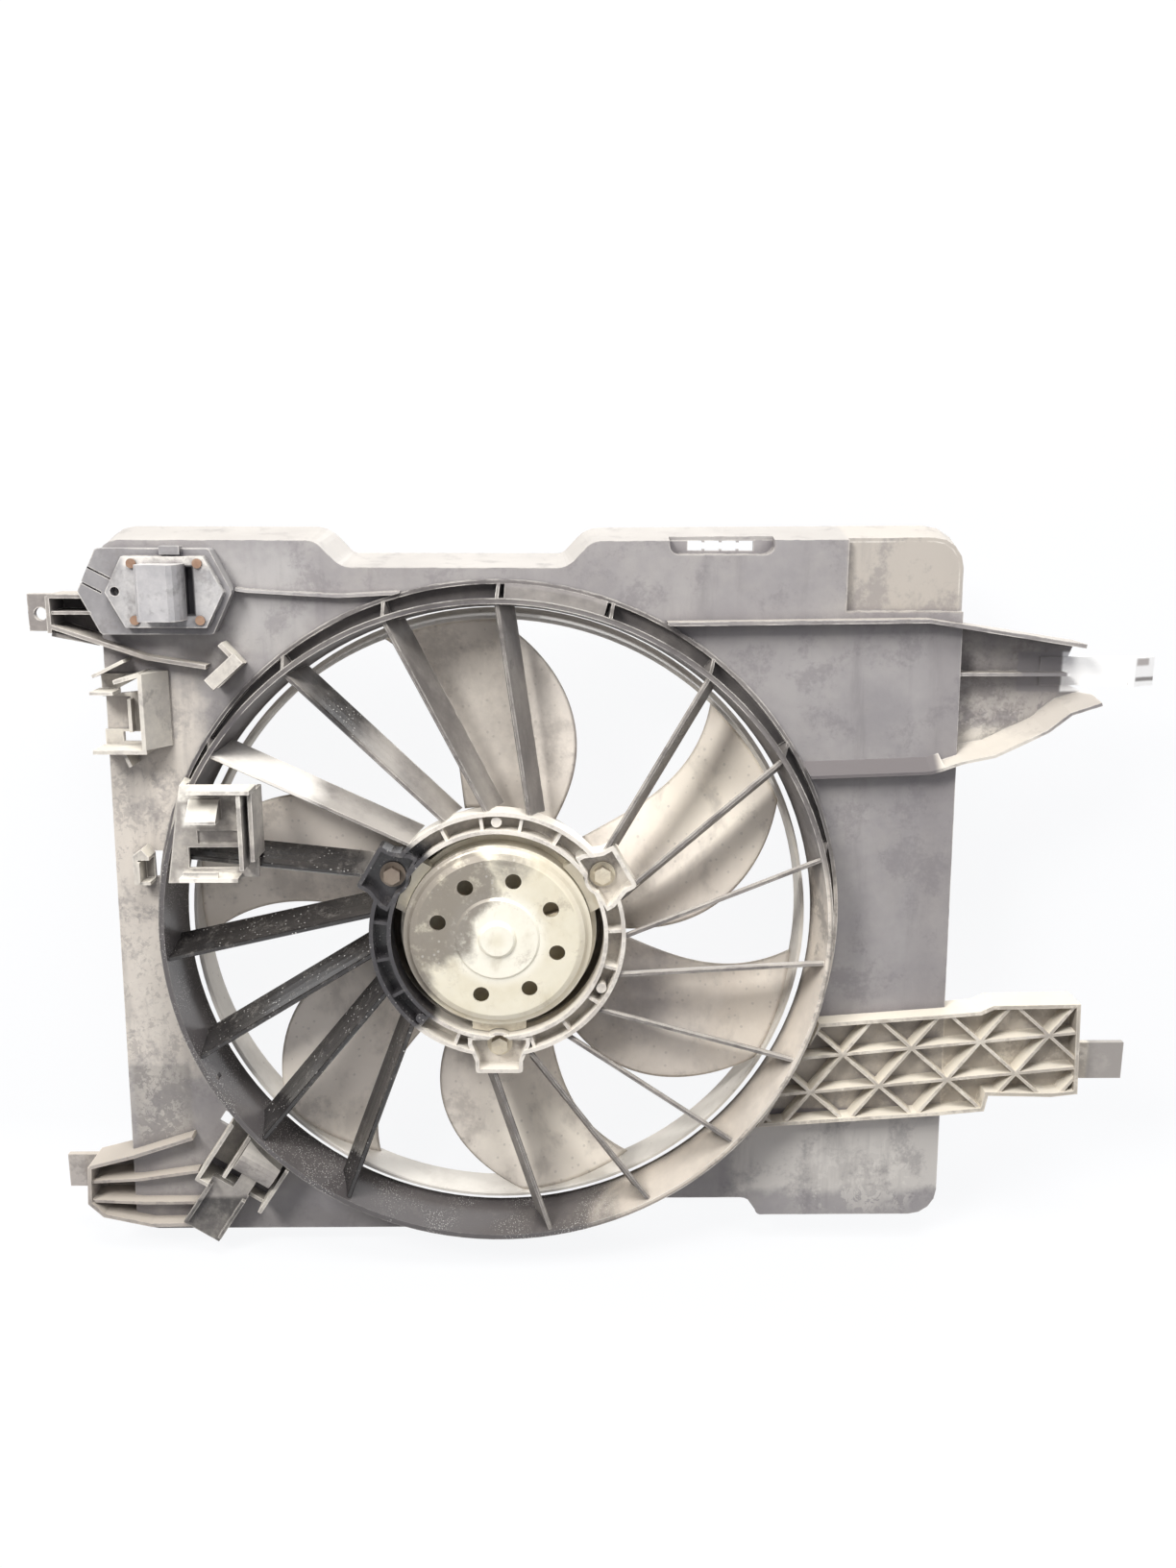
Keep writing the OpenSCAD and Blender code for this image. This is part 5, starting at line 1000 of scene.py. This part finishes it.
def sheetMaterial(s):
    material, tree, shader = newMaterial("whiteSheet")
    shader.inputs["Roughness"].default_value = s["roughness"]
    shader.inputs["Specular IOR Level"].default_value = 0.0
    glow = tree.nodes.new("ShaderNodeEmission")
    glow.inputs["Color"].default_value = solid(s["glow"])
    glow.inputs["Strength"].default_value = s["shine"]
    path = tree.nodes.new("ShaderNodeLightPath").outputs
    seen = seenRays(tree, path)
    put(tree, tint(tree, seen, solid(s["bounce"]), solid(s["seen"])), shader.inputs["Base Color"])
    mixed = tree.nodes.new("ShaderNodeMixShader")
    put(tree, times(tree, seen, s["share"]), mixed.inputs[0])
    put(tree, shader.outputs[0], mixed.inputs[1])
    put(tree, glow.outputs[0], mixed.inputs[2])
    clear = tree.nodes.new("ShaderNodeBsdfTransparent")
    side = tree.nodes.new("ShaderNodeMixShader")
    # light from behind the sheet passes it, so that the object's back is lit too
    behind = tree.nodes.new("ShaderNodeNewGeometry").outputs["Backfacing"]
    put(tree, calc(tree, "MAXIMUM", behind, path["Is Shadow Ray"]), side.inputs[0])
    put(tree, mixed.outputs[0], side.inputs[1])
    put(tree, clear.outputs[0], side.inputs[2])
    put(tree, side.outputs[0], tree.nodes["Material Output"].inputs["Surface"])
    return material


def makeStage(s):
    steps = s["curveSteps"]
    profile = [(s["front"], s["floor"])]
    for k in range(steps + 1):
        a = math.pi / 2 * k / steps
        depth = s["back"] - s["curve"] + s["curve"] * math.sin(a)
        height = s["floor"] + s["curve"] - s["curve"] * math.cos(a)
        profile.append((depth, height))
    profile.append((s["back"], s["top"]))
    points, faces = [], []
    for y, z in profile:
        points += [(-s["halfWidth"], y, z), (s["halfWidth"], y, z)]
    for k in range(len(profile) - 1):
        faces.append((2 * k, 2 * k + 1, 2 * k + 3, 2 * k + 2))
    mesh = bpy.data.meshes.new("sheet")
    mesh.from_pydata(points, [], faces)
    mesh.polygons.foreach_set("use_smooth", [True] * len(faces))
    mesh.materials.append(sheetMaterial(s))
    sheet = bpy.data.objects.new("sheet", mesh)
    bpy.context.scene.collection.objects.link(sheet)


makeStage(stageSettings)

# Light: soft daylight from the upper left, with a pale room round it
lampSettings = [
    {"name": "windowLight", "place": (-0.9, -1.3, 1.3), "size": 0.6, "power": 28.5,
     "colour": (1.0, 0.985, 0.96)},
    {"name": "roomFill", "place": (1.2, -1.6, 0.5), "size": 1.6, "power": 4.0, "colour": (0.93, 0.95, 1.0)},
    {"name": "topLight", "place": (0.15, -0.8, 1.6), "size": 0.8, "power": 25.0, "colour": (1.0, 0.99, 0.97)},
    {"name": "backLight", "place": (0.4, 1.8, 1.0), "size": 1.6, "power": 34.0, "colour": (1.0, 1.0, 1.0)},
]
lampAim = (0.05, -0.04, 0.0)
roomSettings = {"ambient": 0.18, "tint": (0.90, 0.90, 1.0)}


def makeLamps(lamps, aim):
    for s in lamps:
        data = bpy.data.lights.new(s["name"], "AREA")
        data.shape = "DISK"
        data.size = s["size"]
        data.energy = s["power"]
        data.color = s["colour"]
        lamp = bpy.data.objects.new(s["name"], data)
        lamp.location = s["place"]
        lamp.rotation_euler = (Vector(aim) - Vector(s["place"])).to_track_quat("-Z", "Y").to_euler()
        bpy.context.scene.collection.objects.link(lamp)


def makeRoom(s):
    world = bpy.data.worlds.new("room")
    bpy.context.scene.world = world
    world.use_nodes = True
    tree = world.node_tree
    plain = tree.nodes["Background"]
    plain.inputs["Color"].default_value = solid(s["tint"])
    plain.inputs["Strength"].default_value = s["ambient"]
    white = tree.nodes.new("ShaderNodeBackground")
    white.inputs["Color"].default_value = (1, 1, 1, 1)
    seen = seenRays(tree, tree.nodes.new("ShaderNodeLightPath").outputs)
    mixed = tree.nodes.new("ShaderNodeMixShader")
    put(tree, seen, mixed.inputs[0])
    put(tree, plain.outputs[0], mixed.inputs[1])
    put(tree, white.outputs[0], mixed.inputs[2])
    put(tree, mixed.outputs[0], tree.nodes["World Output"].inputs["Surface"])


makeLamps(lampSettings, lampAim)
makeRoom(roomSettings)
bpy.context.scene.view_settings.view_transform = "Standard"
print("stage and light set")
